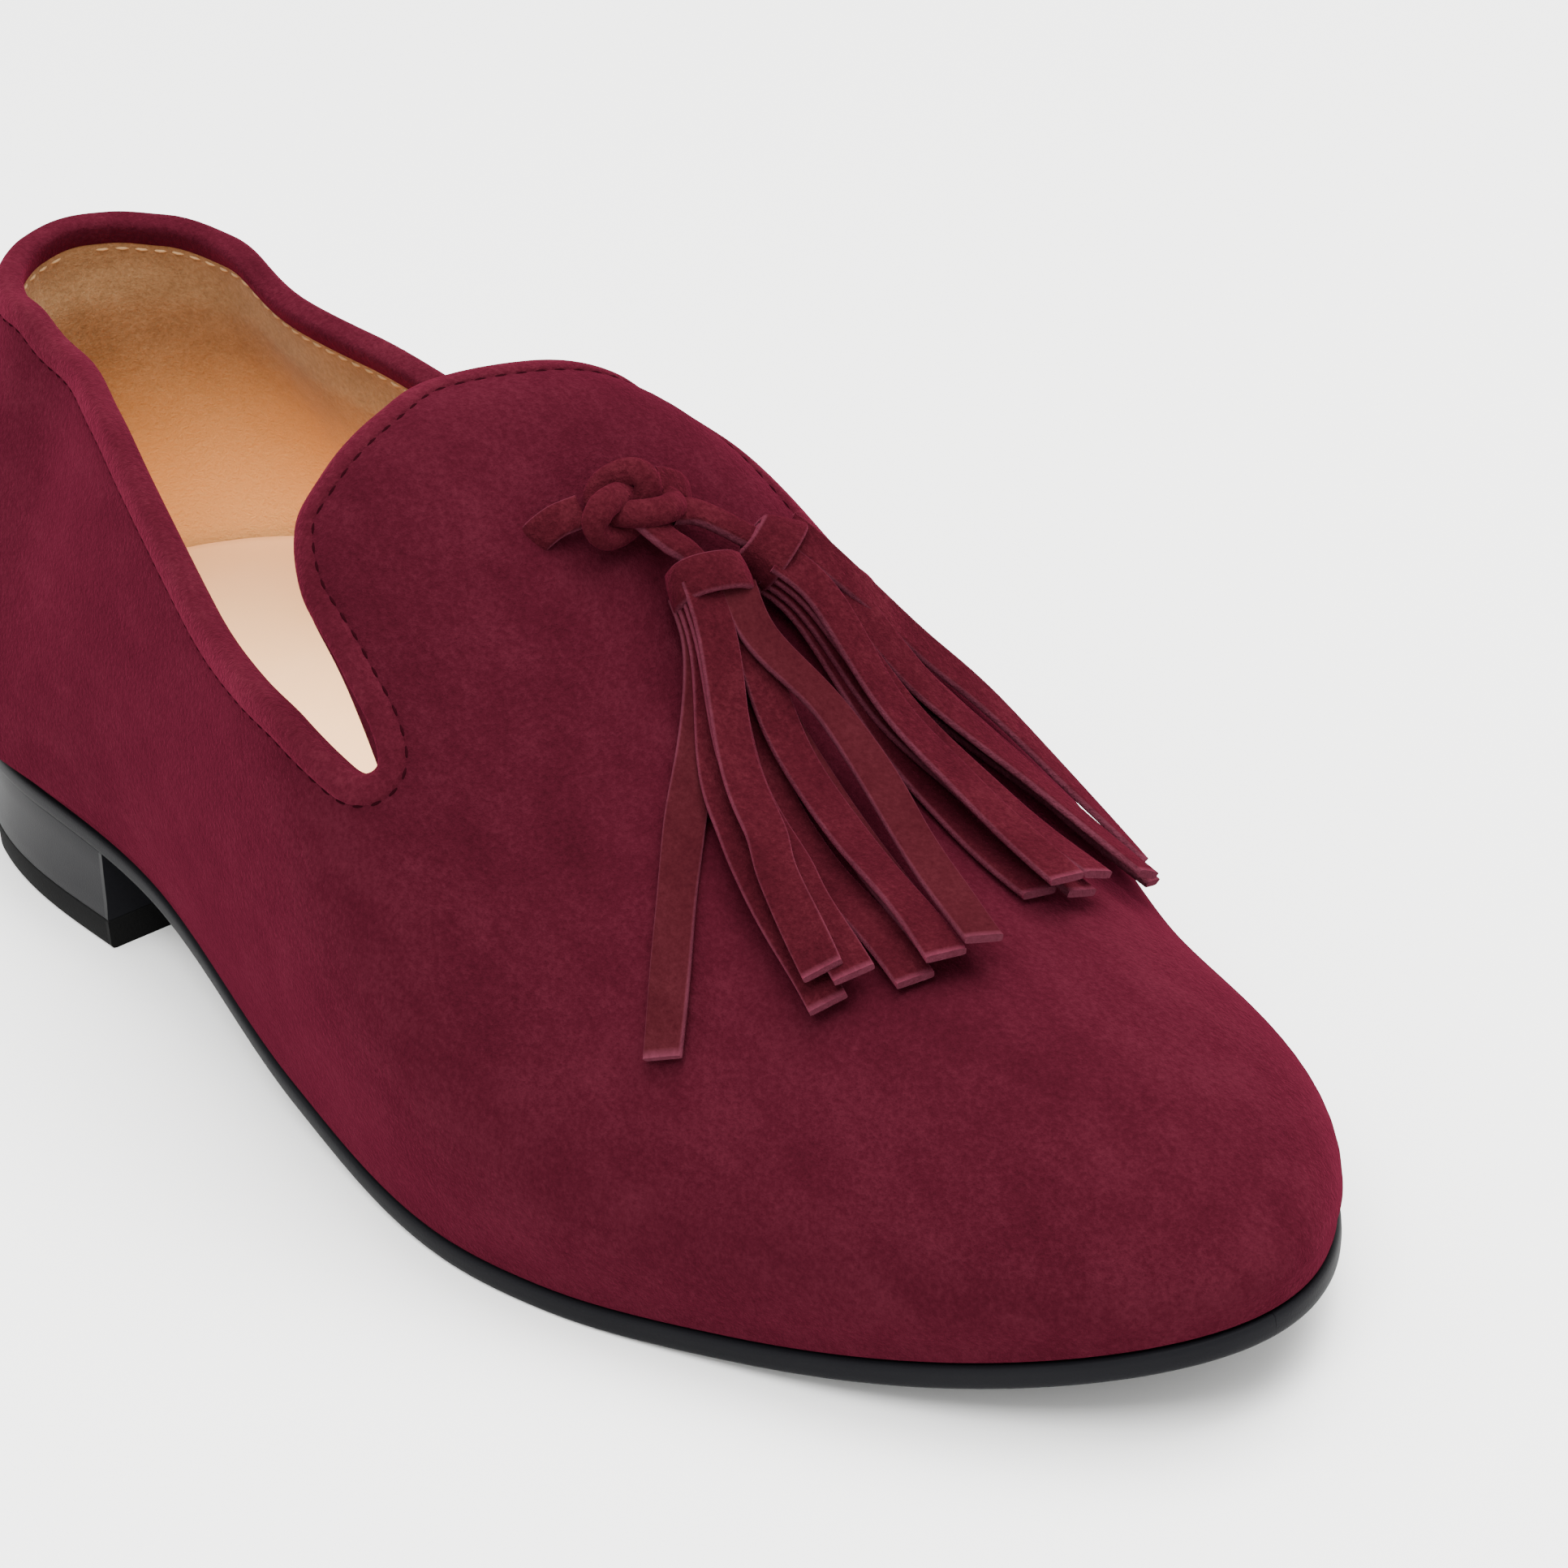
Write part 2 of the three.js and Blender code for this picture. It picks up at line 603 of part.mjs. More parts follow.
function buildWallLayers(columns) {
  const count = columns.length;
  const behind = (column) => column.place.x < liningSplit && column.angle > 60;
  const split = columns.findIndex((column) => !behind(column));
  let splitBack = count - 1;
  while (behind(columns[splitBack])) splitBack -= 1;
  const share = 0.03;
  const shiftEnds = (run) => [
    columnBetween(run[0], run[1], share),
    ...run.slice(1, -1),
    columnBetween(run[run.length - 1], run[run.length - 2], share),
  ];
  const vampRun = shiftEnds(columnRun(columns, split, splitBack));
  const heelRun = shiftEnds(columnRun(columns, splitBack, split + count));
  const counter = columns.findIndex((column) => column.angle < counterStart);
  let counterBack = count - 1;
  while (columns[counterBack].angle >= counterStart) counterBack -= 1;
  const heelStiff = columnRun(columns, counterBack + 1, counter - 1 + count);
  const toeColumns = columns.filter((column) => column.angle <= puffSpread);
  const behindUpper = () => upperThickness + layerGap;
  return [
    wallShell('heel_lining', heelRun, 0, wallSteps, liningDepth, liningThickness, tanSuede),
    wallShell('vamp_lining', vampRun, 0, wallSteps, liningDepth, liningThickness, tanSuede),
    wallShell('heel_counter', heelStiff, counterTopRow, wallSteps, behindUpper, stiffenerThickness, stiffener),
    wallShell('toe_puff', toeColumns, puffTopRow, wallSteps, behindUpper, stiffenerThickness, stiffener),
  ];
}

function overSole(height) {
  return (x) => soleTop(THREE.MathUtils.clamp(x, 0, shoeLength)) + height;
}

function buildSole() {
  const tip = 0.03;
  const back = Math.PI - tip;
  const breast = edgeAngleAt(breastPosition);
  const underSole = (drop) => (x) => soleBottom(THREE.MathUtils.clamp(x, 0, shoeLength)) - drop;
  const level = (height) => () => height;
  const blockFoot = topLiftThickness + layerGap;
  return [
    soleLayer('outsole', [
      { inset: -0.15, height: overSole(0) },
      { inset: -0.15, height: underSole(-0.6) },
      { inset: 0.5, height: underSole(0) },
    ], tip, tip, back, 44, blackEdge),
    soleLayer('heel_block', [
      { inset: 0.4, height: underSole(layerGap) },
      { inset: -heelFlare + 0.3, height: level(blockFoot) },
    ], breast, breast, back, 16, blackEdge),
    soleLayer('heel_top_lift', [
      { inset: -heelFlare + 0.2, height: level(topLiftThickness) },
      { inset: -heelFlare, height: level(0.5) },
      { inset: -heelFlare + 0.5, height: level(0) },
    ], breast, breast, back, 16, blackRubber),
    soleLayer('insole_board', [
      { inset: boardInset, height: overSole(boardFoot + boardThickness) },
      { inset: boardInset, height: overSole(boardFoot) },
    ], tip, tip, back, 44, boardBrown),
    soleLayer('forepart_filler', [
      { inset: marginWidth + 2, height: overSole(layerGap + marginThickness) },
      { inset: marginWidth + 2, height: overSole(layerGap) },
    ], 0.4, 0.4, edgeAngleAt(fillerStart), 16, cork),
    soleLayer('sock_liner', [
      { inset: sockInset, height: overSole(liningFoot + sockThickness) },
      { inset: sockInset, height: overSole(liningFoot) },
    ], tip * 2, tip * 2, Math.PI - tip * 2, 40, paleLeather),
  ];
}

function buildShank() {
  const stops = [];
  const count = 10;
  for (let i = 0; i <= count; i += 1) {
    const x = THREE.MathUtils.lerp(shankStart, shankEnd, i / count);
    const middle = layerGap + marginThickness / 2;
    stops.push({
      centre: new THREE.Vector3(x, middleShift(x), soleTop(x) + middle),
      across: new THREE.Vector3(0, 1, 0),
      up: new THREE.Vector3(0, 0, 1),
      section: flatSection(shankWidth, shankThickness),
    });
  }
  return sweep('shank', stops, false, steel);
}

// ---- the lace, its knot and the two tassels ----

function buildKnot() {
  const { point, normal } = overVamp(...knotCentre);
  const ahead = overVamp(knotCentre[0] + 2, knotCentre[1], knotCentre[2]).point.sub(point);
  const across = normal.clone().cross(ahead).normalize();
  const along = across.clone().cross(normal).normalize();
  const stops = [];
  const count = 42;
  for (let i = 0; i < count; i += 1) {
    const at = (turn) => new THREE.Vector3()
      .addScaledVector(along, knotDeep * (Math.cos(turn) - 2 * Math.cos(2 * turn)))
      .addScaledVector(across, knotWide * (Math.sin(turn) + 2 * Math.sin(2 * turn)))
      .addScaledVector(normal, -knotTall * Math.sin(3 * turn));
    const turn = 2 * Math.PI * i / count;
    const forward = at(turn + 0.02).sub(at(turn - 0.02)).normalize();
    const side = forward.clone().cross(normal).normalize();
    stops.push({
      centre: at(turn).add(point),
      across: side,
      up: side.clone().cross(forward).normalize(),
      section: ovalSection(knotCordRadius * 2, knotCordRadius * 2, 8),
    });
  }
  return sweep('lace_knot', stops, true, strapSuede);
}

function buildLace(name, places) {
  return sweep(name, vampPath(places, 4, () => flatSection(laceWidth, laceThickness)), false, strapSuede);
}

function buildCollar(name, tassel) {
  const [x, y] = tassel.collar;
  const turn = tassel.axis * Math.PI / 180;
  const sections = [[0, 0.8], [0.14, 1], [0.86, 1], [1, 0.9]];
  const place = (share) => overVamp(
    x + Math.cos(turn) * collarLength * share * tasselSlope,
    y + Math.sin(turn) * collarLength * share * tasselSlope,
    bundleLift,
  );
  const start = place(0);
  const end = place(1);
  const along = end.point.clone().sub(start.point).normalize();
  const across = along.clone().cross(start.normal).normalize();
  const up = across.clone().cross(along).normalize();
  const stops = sections.map(([share, size]) => {
    const opening = THREE.MathUtils.lerp(tassel.flare, 1, share) * size;
    return {
      centre: start.point.clone().addScaledVector(along, collarLength * share),
      across,
      up,
      section: ovalSection(collarWidth * opening, collarHeight * opening, 16),
    };
  });
  return sweep(name, stops, false, strapSuede);
}

// The strips leave the collar as a bundle, settle on the vamp and fan out, each in its own layer.
function buildStrip(name, tassel, strip) {
  const turn = tassel.axis * Math.PI / 180;
  const reach = collarLength * tasselSlope + 0.8;
  const rootAt = (ahead) => [
    tassel.collar[0] + Math.cos(turn) * (reach + ahead) - Math.sin(turn) * strip.place * stripPitch,
    tassel.collar[1] + Math.sin(turn) * (reach + ahead) + Math.cos(turn) * strip.place * stripPitch,
  ];
  const lift = (ahead) => {
    const settled = restLift + layerPitch * strip.layer;
    const bundled = bundleLift + layerPitch * (strip.layer - 1.5);
    return THREE.MathUtils.lerp(bundled, settled, THREE.MathUtils.smoothstep(ahead, 0, 16));
  };
  const path = new THREE.CatmullRomCurve3([rootAt(0), rootAt(2.5), strip.middle, strip.tip]
    .map(([x, y]) => new THREE.Vector3(x, y, 0)));
  const count = 11;
  const spots = path.getSpacedPoints(count);
  const places = spots.map((spot) => {
    const ahead = (spot.x - tassel.collar[0]) * Math.cos(turn)
      + (spot.y - tassel.collar[1]) * Math.sin(turn) - reach;
    return [spot.x, spot.y, lift(Math.max(ahead, 0))];
  });
  return sweep(name, vampPath(places, count, () => flatSection(stripWidth, stripThickness)), false, strapSuede);
}

function buildTassel(letter, tassel) {
  return [
    buildLace(`lace_leg_${letter}`, tassel.leg),
    buildCollar(`tassel_${letter}_collar`, tassel),
    ...tassel.strips.map((strip, i) => buildStrip(`tassel_${letter}_strip_${i + 1}`, tassel, strip)),
  ];
}

// Where each tassel turns: it swings over the vamp at the knot and lifts at its collar.
function hingesOf(letter, tassel, shift) {
  const swing = overVamp(...tassel.leg[0]);
  const lift = overVamp(...tassel.leg[2]);
  const turn = tassel.fanAxis * Math.PI / 180;
  const [x, y, height] = tassel.leg[2];
  const ahead = overVamp(x + Math.cos(turn), y + Math.sin(turn), height).point.sub(lift.point);
  const across = ahead.cross(lift.normal).normalize();
  return [
    { name: `tassel_${letter}_swing`, point: swing.point.sub(shift).toArray(), axis: swing.normal.toArray() },
    { name: `tassel_${letter}_lift`, point: lift.point.sub(shift).toArray(), axis: across.toArray() },
  ];
}

function buildShoe() {
  const columns = makeColumns();
  const pieces = [
    ...buildSole(),
    buildShank(),
    buildUpper(columns),
    buildBinding(columns),
    ...buildWallLayers(columns),
    buildLace('lace_outer', outerLacePath),
    buildLace('lace_inner', innerLacePath),
    buildKnot(),
    ...buildTassel('a', tasselA),
    ...buildTassel('b', tasselB),
  ];
  const shoe = new THREE.Group();
  shoe.name = 'tassel_loafer';
  shoe.add(...pieces);
  const box = new THREE.Box3().setFromObject(shoe);
  const shift = box.getCenter(new THREE.Vector3()).setZ(box.min.z);
  for (const piece of pieces) piece.geometry.translate(-shift.x, -shift.y, -shift.z);
  shoe.userData = {
    originShift: shift.toArray(),
    hinges: [...hingesOf('a', tasselA, shift), ...hingesOf('b', tasselB, shift)],
  };
  return shoe;
}

export default buildShoe();
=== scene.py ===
import math
import bpy
import numpy as np
from mathutils import Matrix


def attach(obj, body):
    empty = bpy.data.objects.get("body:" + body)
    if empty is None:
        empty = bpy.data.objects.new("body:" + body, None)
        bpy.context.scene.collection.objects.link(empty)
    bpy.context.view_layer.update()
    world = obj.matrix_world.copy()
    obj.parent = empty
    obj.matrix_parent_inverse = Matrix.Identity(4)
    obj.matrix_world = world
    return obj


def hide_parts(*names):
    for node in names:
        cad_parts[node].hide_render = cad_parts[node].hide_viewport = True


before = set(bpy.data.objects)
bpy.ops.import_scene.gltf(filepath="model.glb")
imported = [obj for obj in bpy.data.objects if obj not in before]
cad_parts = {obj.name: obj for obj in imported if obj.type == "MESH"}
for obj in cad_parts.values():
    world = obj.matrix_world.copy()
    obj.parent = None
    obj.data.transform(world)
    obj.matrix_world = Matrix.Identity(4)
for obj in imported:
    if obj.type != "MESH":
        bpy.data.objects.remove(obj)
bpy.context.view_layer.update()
print("frame loaded")

# All shapes are worked out in millimetres from the back of the heel, then put in metres round the
# frame's origin.
frameShift = np.array([119.245, 3.108, 0.0])
layerGap = 0.3

# ---------- the last: one smooth form that every layer follows
last = {
    "length": 241.0, "heelHeight": 14.8, "soleThickness": 2.9, "seatEnd": 45.0,
    "treadStart": 156.0, "treadEnd": 169.0, "toeSpring": 10.5,
    "heelRound": 26.0, "outerToeRound": 70.0, "innerToeRound": 97.0,
    "outerHalfWidth": [(0, 27.3), (12, 30), (30, 34.2), (79, 35.1), (119, 40.4), (157, 42.3), (194, 34.8),
                       (224, 31.2), (241, 29.4)],
    "innerHalfWidth": [(0, 27.3), (12, 29.5), (30, 31.5), (79, 28.8), (119, 32.7), (157, 47.9), (194, 43.4),
                       (224, 43.5), (241, 38.2)],
    "middleShift": [(0, 0), (33, 0), (179, 2), (241, 6.2)],
    "ridgeStart": 23.0, "ridgeEnd": 174.5,
    "ridgeShift": [(0, 0), (39, 0), (99, -4.1), (159, -6.2), (241, -6.2)],
    "ridgeHeight": [(0, 104), (23, 104), (74, 79), (99, 72), (129, 75), (144, 60), (159, 47), (176, 39.7),
                    (194, 35.5), (219, 29.5), (241, 20.4)],
    "squareness": [(0, 1.25), (39, 1.05), (89, 1.94), (149, 2.6), (241, 2.35)],
    "outerBulge": [(0, 4.5), (23, 4.8), (69, 3), (109, 1.8), (179, 2.5), (241, 1.8)],
    "innerBulge": [(0, 4.5), (23, 4.6), (69, 3), (109, 2.5), (179, 1.2), (241, 1.8)],
}
# angle, outer rise, inner rise, foot, steps
topLine = [
    (180, 0.495, 0.495, 180, 2), (170, 0.495, 0.493, 170, 2), (160, 0.498, 0.493, 160, 1),
    (150, 0.509, 0.499, 151, 2), (140, 0.527, 0.51, 141, 1), (131, 0.533, 0.512, 132, 1),
    (122, 0.518, 0.493, 123, 2), (113, 0.493, 0.466, 114, 1), (105, 0.472, 0.446, 105, 2),
    (92, 0.432, 0.414, 92, 2), (84.5, 0.428, 0.416, 84, 2), (79, 0.475, 0.472, 78.5, 3),
    (76.4, 0.53, 0.53, 73, 3), (76.9, 0.558, 0.558, 68, 2), (79.7, 0.562, 0.562, 62, 2),
    (84, 0.572, 0.572, 55, 2), (86, 0.65, 0.65, 46, 3), (84.2, 0.755, 0.755, 34, 3),
    (81, 0.9, 0.9, 17, 3),
]
tongueTip = (78, 1.0, 1.0, 0, 3)


def throughPoints(points, x):
    # a smooth curve through the points: cubic pieces whose slopes are blended from their neighbours
    xs, ys = np.array(points, float).T
    x = np.clip(np.asarray(x, float), xs[0], xs[-1])
    span = np.diff(xs)
    slope = np.diff(ys) / span
    blended = (slope[:-1] * span[1:] + slope[1:] * span[:-1]) / (span[1:] + span[:-1])
    tangent = np.concatenate([slope[:1], blended, slope[-1:]])
    i = np.clip(np.searchsorted(xs, x, side="right") - 1, 0, len(xs) - 2)
    t = (x - xs[i]) / span[i]
    s = 1 - t
    level = s * s * (1 + 2 * t) * ys[i] + t * t * (3 - 2 * t) * ys[i + 1]
    return level + t * s * span[i] * (s * tangent[i] - t * tangent[i + 1])


def smoothStep(x, low, high):
    t = np.clip((x - low) / (high - low), 0, 1)
    return t * t * (3 - 2 * t)


def soleBottom(x):
    rise = np.maximum((x - last["treadEnd"]) / (last["length"] - last["treadEnd"]), 0)
    fall = smoothStep(x, last["seatEnd"], last["treadStart"])
    return last["heelHeight"] * (1 - fall) + last["toeSpring"] * rise ** 2


def soleTop(x):
    return soleBottom(np.clip(x, 0, last["length"])) + last["soleThickness"]


def soleEdge(angle):
    x = last["length"] * (1 + np.cos(angle)) / 2
    outer = np.sin(angle) < 0
    toeRound = np.where(outer, last["outerToeRound"], last["innerToeRound"])
    heel = np.clip((last["heelRound"] - x) / last["heelRound"], 0, 1)
    toe = np.clip((x - last["length"] + toeRound) / toeRound, 0, 1)
    rounding = np.sqrt(np.clip((1 - heel ** 2) * (1 - toe ** 2), 0, 1))
    outerHalf, innerHalf = (throughPoints(last[side], x) for side in ("outerHalfWidth", "innerHalfWidth"))
    half = np.where(outer, -outerHalf, innerHalf)
    return np.stack([x, half * rounding + throughPoints(last["middleShift"], x)], -1)


def edgeNormal(angle):
    along = soleEdge(angle + 1e-3) - soleEdge(angle - 1e-3)
    along /= np.linalg.norm(along, axis=-1, keepdims=True)
    return np.stack([along[..., 1], -along[..., 0]], -1)


def ridgeLine(angle):
    x = last["ridgeStart"] + (last["ridgeEnd"] - last["ridgeStart"]) * (1 + np.cos(angle)) / 2
    return np.stack([x, throughPoints(last["ridgeShift"], x)], -1)


def lastSurface(angle, rise):
    # superellipse arcs from the sole edge (rise 0) to the ridge line (rise 1), with a low bulge over the
    # edge: inward is cos(rise * 90 deg) and upward is sin(rise * 90 deg), both to the power 2 / squareness
    edge, ridge, normal = soleEdge(angle), ridgeLine(angle), edgeNormal(angle)
    power = 2 / throughPoints(last["squareness"], edge[..., 0])
    inward = np.clip(np.cos(rise * np.pi / 2), 0, 1) ** power
    upward = np.clip(np.sin(rise * np.pi / 2), 0, 1) ** power
    share = np.clip(rise / 0.6, 0, 1)
    outerBulge = throughPoints(last["outerBulge"], edge[..., 0])
    innerBulge = throughPoints(last["innerBulge"], edge[..., 0])
    bulge = np.where(np.sin(angle) < 0, outerBulge, innerBulge) * 6.75 * share * (1 - share) ** 2
    flat = ridge + (edge - ridge) * inward[..., None] + normal * bulge[..., None]
    within = np.clip(flat[..., 0], 0, last["length"])
    height = soleTop(within) + layerGap + throughPoints(last["ridgeHeight"], within) * upward
    return np.concatenate([flat, height[..., None]], -1)


def toPlan(angle, rise):
    edge, ridge = soleEdge(angle), ridgeLine(angle)
    inward = np.cos(rise * np.pi / 2) ** (2 / throughPoints(last["squareness"], edge[..., 0]))
    return ridge + (edge - ridge) * inward[..., None]


def fromPlan(place):
    # halving search for the line from ridge to sole edge that passes through the place
    x, y = place[..., 0], place[..., 1]
    start, end = last["ridgeStart"], last["ridgeEnd"]
    middle = throughPoints(last["ridgeShift"], x)
    behind = throughPoints(last["ridgeShift"], start) * x / start
    share = (x - end) / (last["length"] - end)
    ahead = throughPoints(last["ridgeShift"], end) * (1 - share)
    ahead = ahead + throughPoints(last["middleShift"], last["length"]) * share
    middle = np.where(x < start, behind, np.where(x > end, ahead, middle))
    side = np.where(y >= middle, 1.0, -1.0)
    low, high = np.zeros_like(x), np.full_like(x, np.pi)
    for _ in range(34):
        half = (low + high) / 2
        ridge = ridgeLine(side * half)
        arm, reach = soleEdge(side * half) - ridge, place - ridge
        before = side * (arm[..., 0] * reach[..., 1] - arm[..., 1] * reach[..., 0]) > 0
        low, high = np.where(before, half, low), np.where(before, high, half)
    angle = side * (low + high) / 2
    ridge, edge = ridgeLine(angle), soleEdge(angle)
    inward = np.minimum(np.linalg.norm(place - ridge, axis=-1) / np.linalg.norm(edge - ridge, axis=-1), 1)
    return angle, np.arccos(inward ** (throughPoints(last["squareness"], edge[..., 0]) / 2)) * 2 / np.pi


def overPlan(place):
    return lastSurface(*fromPlan(place))


def outward(place, step=0.05):
    # the direction out of the suede at these places
    byX = overPlan(place + [step, 0.0]) - overPlan(place - [step, 0.0])
    byY = overPlan(place + [0.0, step]) - overPlan(place - [0.0, step])
    normal = np.cross(byX, byY)
    return normal / np.linalg.norm(normal, axis=-1, keepdims=True)


def overVamp(place, lift):
    # the point this far out of the suede, and the outward direction there
    normal = outward(place, 0.6)
    return overPlan(place) + normal * np.asarray(lift)[..., None], normal


def topLineColumns(finer):
    # closed smooth curve through the named places, outer side first, then back along the inner side
    radians = math.pi / 180
    named = []
    for angle, outer, _, foot, steps in topLine:
        named.append((toPlan(np.array(-angle * radians), np.array(outer)), -foot, steps))
    named.append((toPlan(np.array(tongueTip[0] * radians), np.array(1.0)), 0.0, tongueTip[4]))
    for i in range(len(topLine) - 1, 0, -1):
        angle, _, inner, foot, _ = topLine[i]
        named.append((toPlan(np.array(angle * radians), np.array(inner)), float(foot), topLine[i - 1][4]))
    count = len(named)
    u = np.concatenate([i + np.arange(named[i][2] * finer) / (named[i][2] * finer) for i in range(count)])
    index = np.floor(u).astype(int)
    places = np.array([item[0] for item in named])
    feet = np.array([item[1] for item in named])

    def blend(values, t):
        a, b, c, d = values
        bend = 2 * a - 5 * b + 4 * c - d + t * (3 * (b - c) + d - a)
        return b + t * (c - a + t * bend) / 2

    nearest = [index + k for k in (-1, 0, 1, 2)]
    place = blend([places[i % count] for i in nearest], (u - index)[:, None])
    foot = blend([feet[i % count] + 360 * np.floor(i / count) for i in nearest], u - index)
    return place, foot * radians


def marchIn(place, reach, stops):
    # walk over the suede from the top line, at right angles to it: keep the heading in space and lay it
    # back on the surface after every step
    def slopes(spot):
        step = 0.05
        byX = overPlan(spot + [step, 0.0]) - overPlan(spot - [step, 0.0])
        byY = overPlan(spot + [0.0, step]) - overPlan(spot - [0.0, step])
        return byX / (2 * step), byY / (2 * step)

    def laidDown(heading, byX, byY):
        xx, xy, yy = (np.sum(p * q, -1) for p, q in ((byX, byX), (byX, byY), (byY, byY)))
        hx, hy = np.sum(byX * heading, -1), np.sum(byY * heading, -1)
        move = np.stack([yy * hx - xy * hy, xx * hy - xy * hx], -1) / (xx * yy - xy * xy)[..., None]
        shown = byX * move[..., :1] + byY * move[..., 1:]
        size = np.linalg.norm(shown, axis=-1, keepdims=True)
        return move / size, shown / size

    edgeWay = np.roll(place, -1, 0) - np.roll(place, 1, 0)
    byX, byY = slopes(place)
    heading = np.cross(byX * edgeWay[:, :1] + byY * edgeWay[:, 1:], np.cross(byX, byY))
    move, heading = laidDown(heading, byX, byY)
    inside = move[:, 0] * edgeWay[:, 1] - move[:, 1] * edgeWay[:, 0]
    heading = heading * np.sign(inside)[:, None]
    walk = [place]
    for _ in range(stops):
        byX, byY = slopes(walk[-1])
        move, heading = laidDown(heading, byX, byY)
        walk.append(walk[-1] + move * reach / stops)
    return np.stack(walk, 1)


hemReach, hemStops = 4.5, 18
columns = topLineColumns(5)
foot = columns[1]
hem = marchIn(columns[0], hemReach, hemStops)
level = np.concatenate([edgeNormal(foot), np.zeros((len(foot), 1))], -1)
print("top line laid out")


def wallPlaces(rows, footHeight=4.1):
    # each column runs straight down the wall in even rows, from the top line to its foot
    start = columns[0]
    edge = soleEdge(foot)
    share = (footHeight - layerGap) / throughPoints(last["ridgeHeight"], edge[..., 0])
    power = throughPoints(last["squareness"], edge[..., 0]) / 2
    rise = np.arcsin(np.clip(share, 0, 1) ** power) * 2 / np.pi
    end = toPlan(foot, rise)
    shares = 1 - (1 - np.linspace(0, 1, 90)) ** 3
    walk = overPlan(start[:, None] + (end - start)[:, None] * shares[None, :, None])
    run = np.cumsum(np.linalg.norm(np.diff(walk, axis=1, prepend=walk[:, :1]), axis=-1), 1)
    want = np.linspace(0, 1, rows + 1)
    picked = np.array([np.interp(want * line[-1], line, shares) for line in run])
    return start[:, None] + (end - start)[:, None] * picked[..., None]


hemGrid = overPlan(hem)


# ---------- making meshes
def toFrame(points):
    return (np.asarray(points, float).reshape(-1, 3) - frameShift) / 1000


def shownPiece(name, mesh, body, material):
    piece = bpy.data.objects.new(name, mesh)
    bpy.context.scene.collection.objects.link(piece)
    mesh.materials.append(material)
    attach(piece, body)
    return piece


def gridPiece(name, rings, body, material, stands=(), closed=False, marks=None):
    # rings of matching points: each ring closes on itself, the rings join in order, and the ends are capped
    count, size = rings.shape[:2]
    i, j = np.meshgrid(np.arange(count if closed else count - 1), np.arange(size), indexing="ij")
    nextI, nextJ = (i + 1) % count, (j + 1) % size
    corners = [i * size + j, nextI * size + j, nextI * size + nextJ, i * size + nextJ]
    quads = np.stack(corners, -1).reshape(-1, 4)
    points = toFrame(rings)
    a, b, c, d = (points[quads[:, k]] for k in range(4))
    middle = points.mean(0)
    volume = np.sum((a - middle) * np.cross(b - middle, c - middle))
    volume += np.sum((a - middle) * np.cross(c - middle, d - middle))
    if volume < 0:
        quads = quads[:, ::-1]
    faces = quads.tolist()
    if not closed:
        first, final = list(range(size)), list(range((count - 1) * size, count * size))
        faces += [first if volume < 0 else first[::-1], final[::-1] if volume < 0 else final]
    mesh = bpy.data.meshes.new(name)
    mesh.from_pydata(points.tolist(), [], faces)
    if marks is not None:
        layer = mesh.attributes.new("mark", "FLOAT", "POINT")
        layer.data.foreach_set("value", np.asarray(marks, np.float32).ravel())
    mesh.polygons.foreach_set("use_smooth", [len(face) == 4 for face in faces])
    mesh.update()
    piece = shownPiece(name, mesh, body, material)
    if stands:
        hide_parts(*stands)
    return piece


# ---------- materials
def nodeOf(tree, kind, **values):
    node = tree.nodes.new(kind)
    for key, value in values.items():
        setattr(node, key, value)
    return node


def startMaterial(name, settings):
    material = bpy.data.materials.new(name)
    material.use_nodes = True
    tree = material.node_tree
    shader = tree.nodes["Principled BSDF"]
    for socket, value in settings.items():
        shader.inputs[socket].default_value = value
    place = nodeOf(tree, "ShaderNodeTexCoord").outputs["Object"]
    return material, tree, shader, place


def noise(tree, place, scale, detail=3.0, roughness=0.55):
    node = nodeOf(tree, "ShaderNodeTexNoise")
    node.inputs["Scale"].default_value = scale
    node.inputs["Detail"].default_value = detail
    node.inputs["Roughness"].default_value = roughness
    tree.links.new(place, node.inputs["Vector"])
    return node.outputs["Fac"]


def ramp(tree, value, stops):
    node = nodeOf(tree, "ShaderNodeValToRGB")
    elements = node.color_ramp.elements
    while len(elements) < len(stops):
        elements.new(0.5)
    for element, (at, colour) in zip(elements, stops):
        element.position = at
        element.color = (*colour, 1)
    tree.links.new(value, node.inputs["Fac"])
    return node.outputs["Color"]


def mixColour(tree, share, first, second, way="MIX"):
    node = nodeOf(tree, "ShaderNodeMix", data_type="RGBA", blend_type=way)
    if isinstance(share, float):
        node.inputs[0].default_value = share
    else:
        tree.links.new(share, node.inputs[0])
    for socket, colour in ((6, first), (7, second)):
        if isinstance(colour, tuple):
            node.inputs[socket].default_value = (*colour, 1)
        else:
            tree.links.new(colour, node.inputs[socket])
    return node.outputs[2]


def addValues(tree, parts):
    # the sum of value times weight
    total = None
    for value, weight in parts:
        node = nodeOf(tree, "ShaderNodeMath", operation="MULTIPLY_ADD")
        tree.links.new(value, node.inputs[0])
        node.inputs[1].default_value = weight
        if total is None:
            node.inputs[2].default_value = 0.0
        else:
            tree.links.new(total, node.inputs[2])
        total = node.outputs[0]
    return total


def bumpFrom(tree, shader, height, distance, strength=1.0):
    node = nodeOf(tree, "ShaderNodeBump")
    node.inputs["Strength"].default_value = strength
    node.inputs["Distance"].default_value = distance
    tree.links.new(height, node.inputs["Height"])
    tree.links.new(node.outputs["Normal"], shader.inputs["Normal"])


def stretched(tree, place, scale):
    node = nodeOf(tree, "ShaderNodeMapping")
    node.inputs["Scale"].default_value = scale
    tree.links.new(place, node.inputs["Vector"])
    return node.outputs["Vector"]


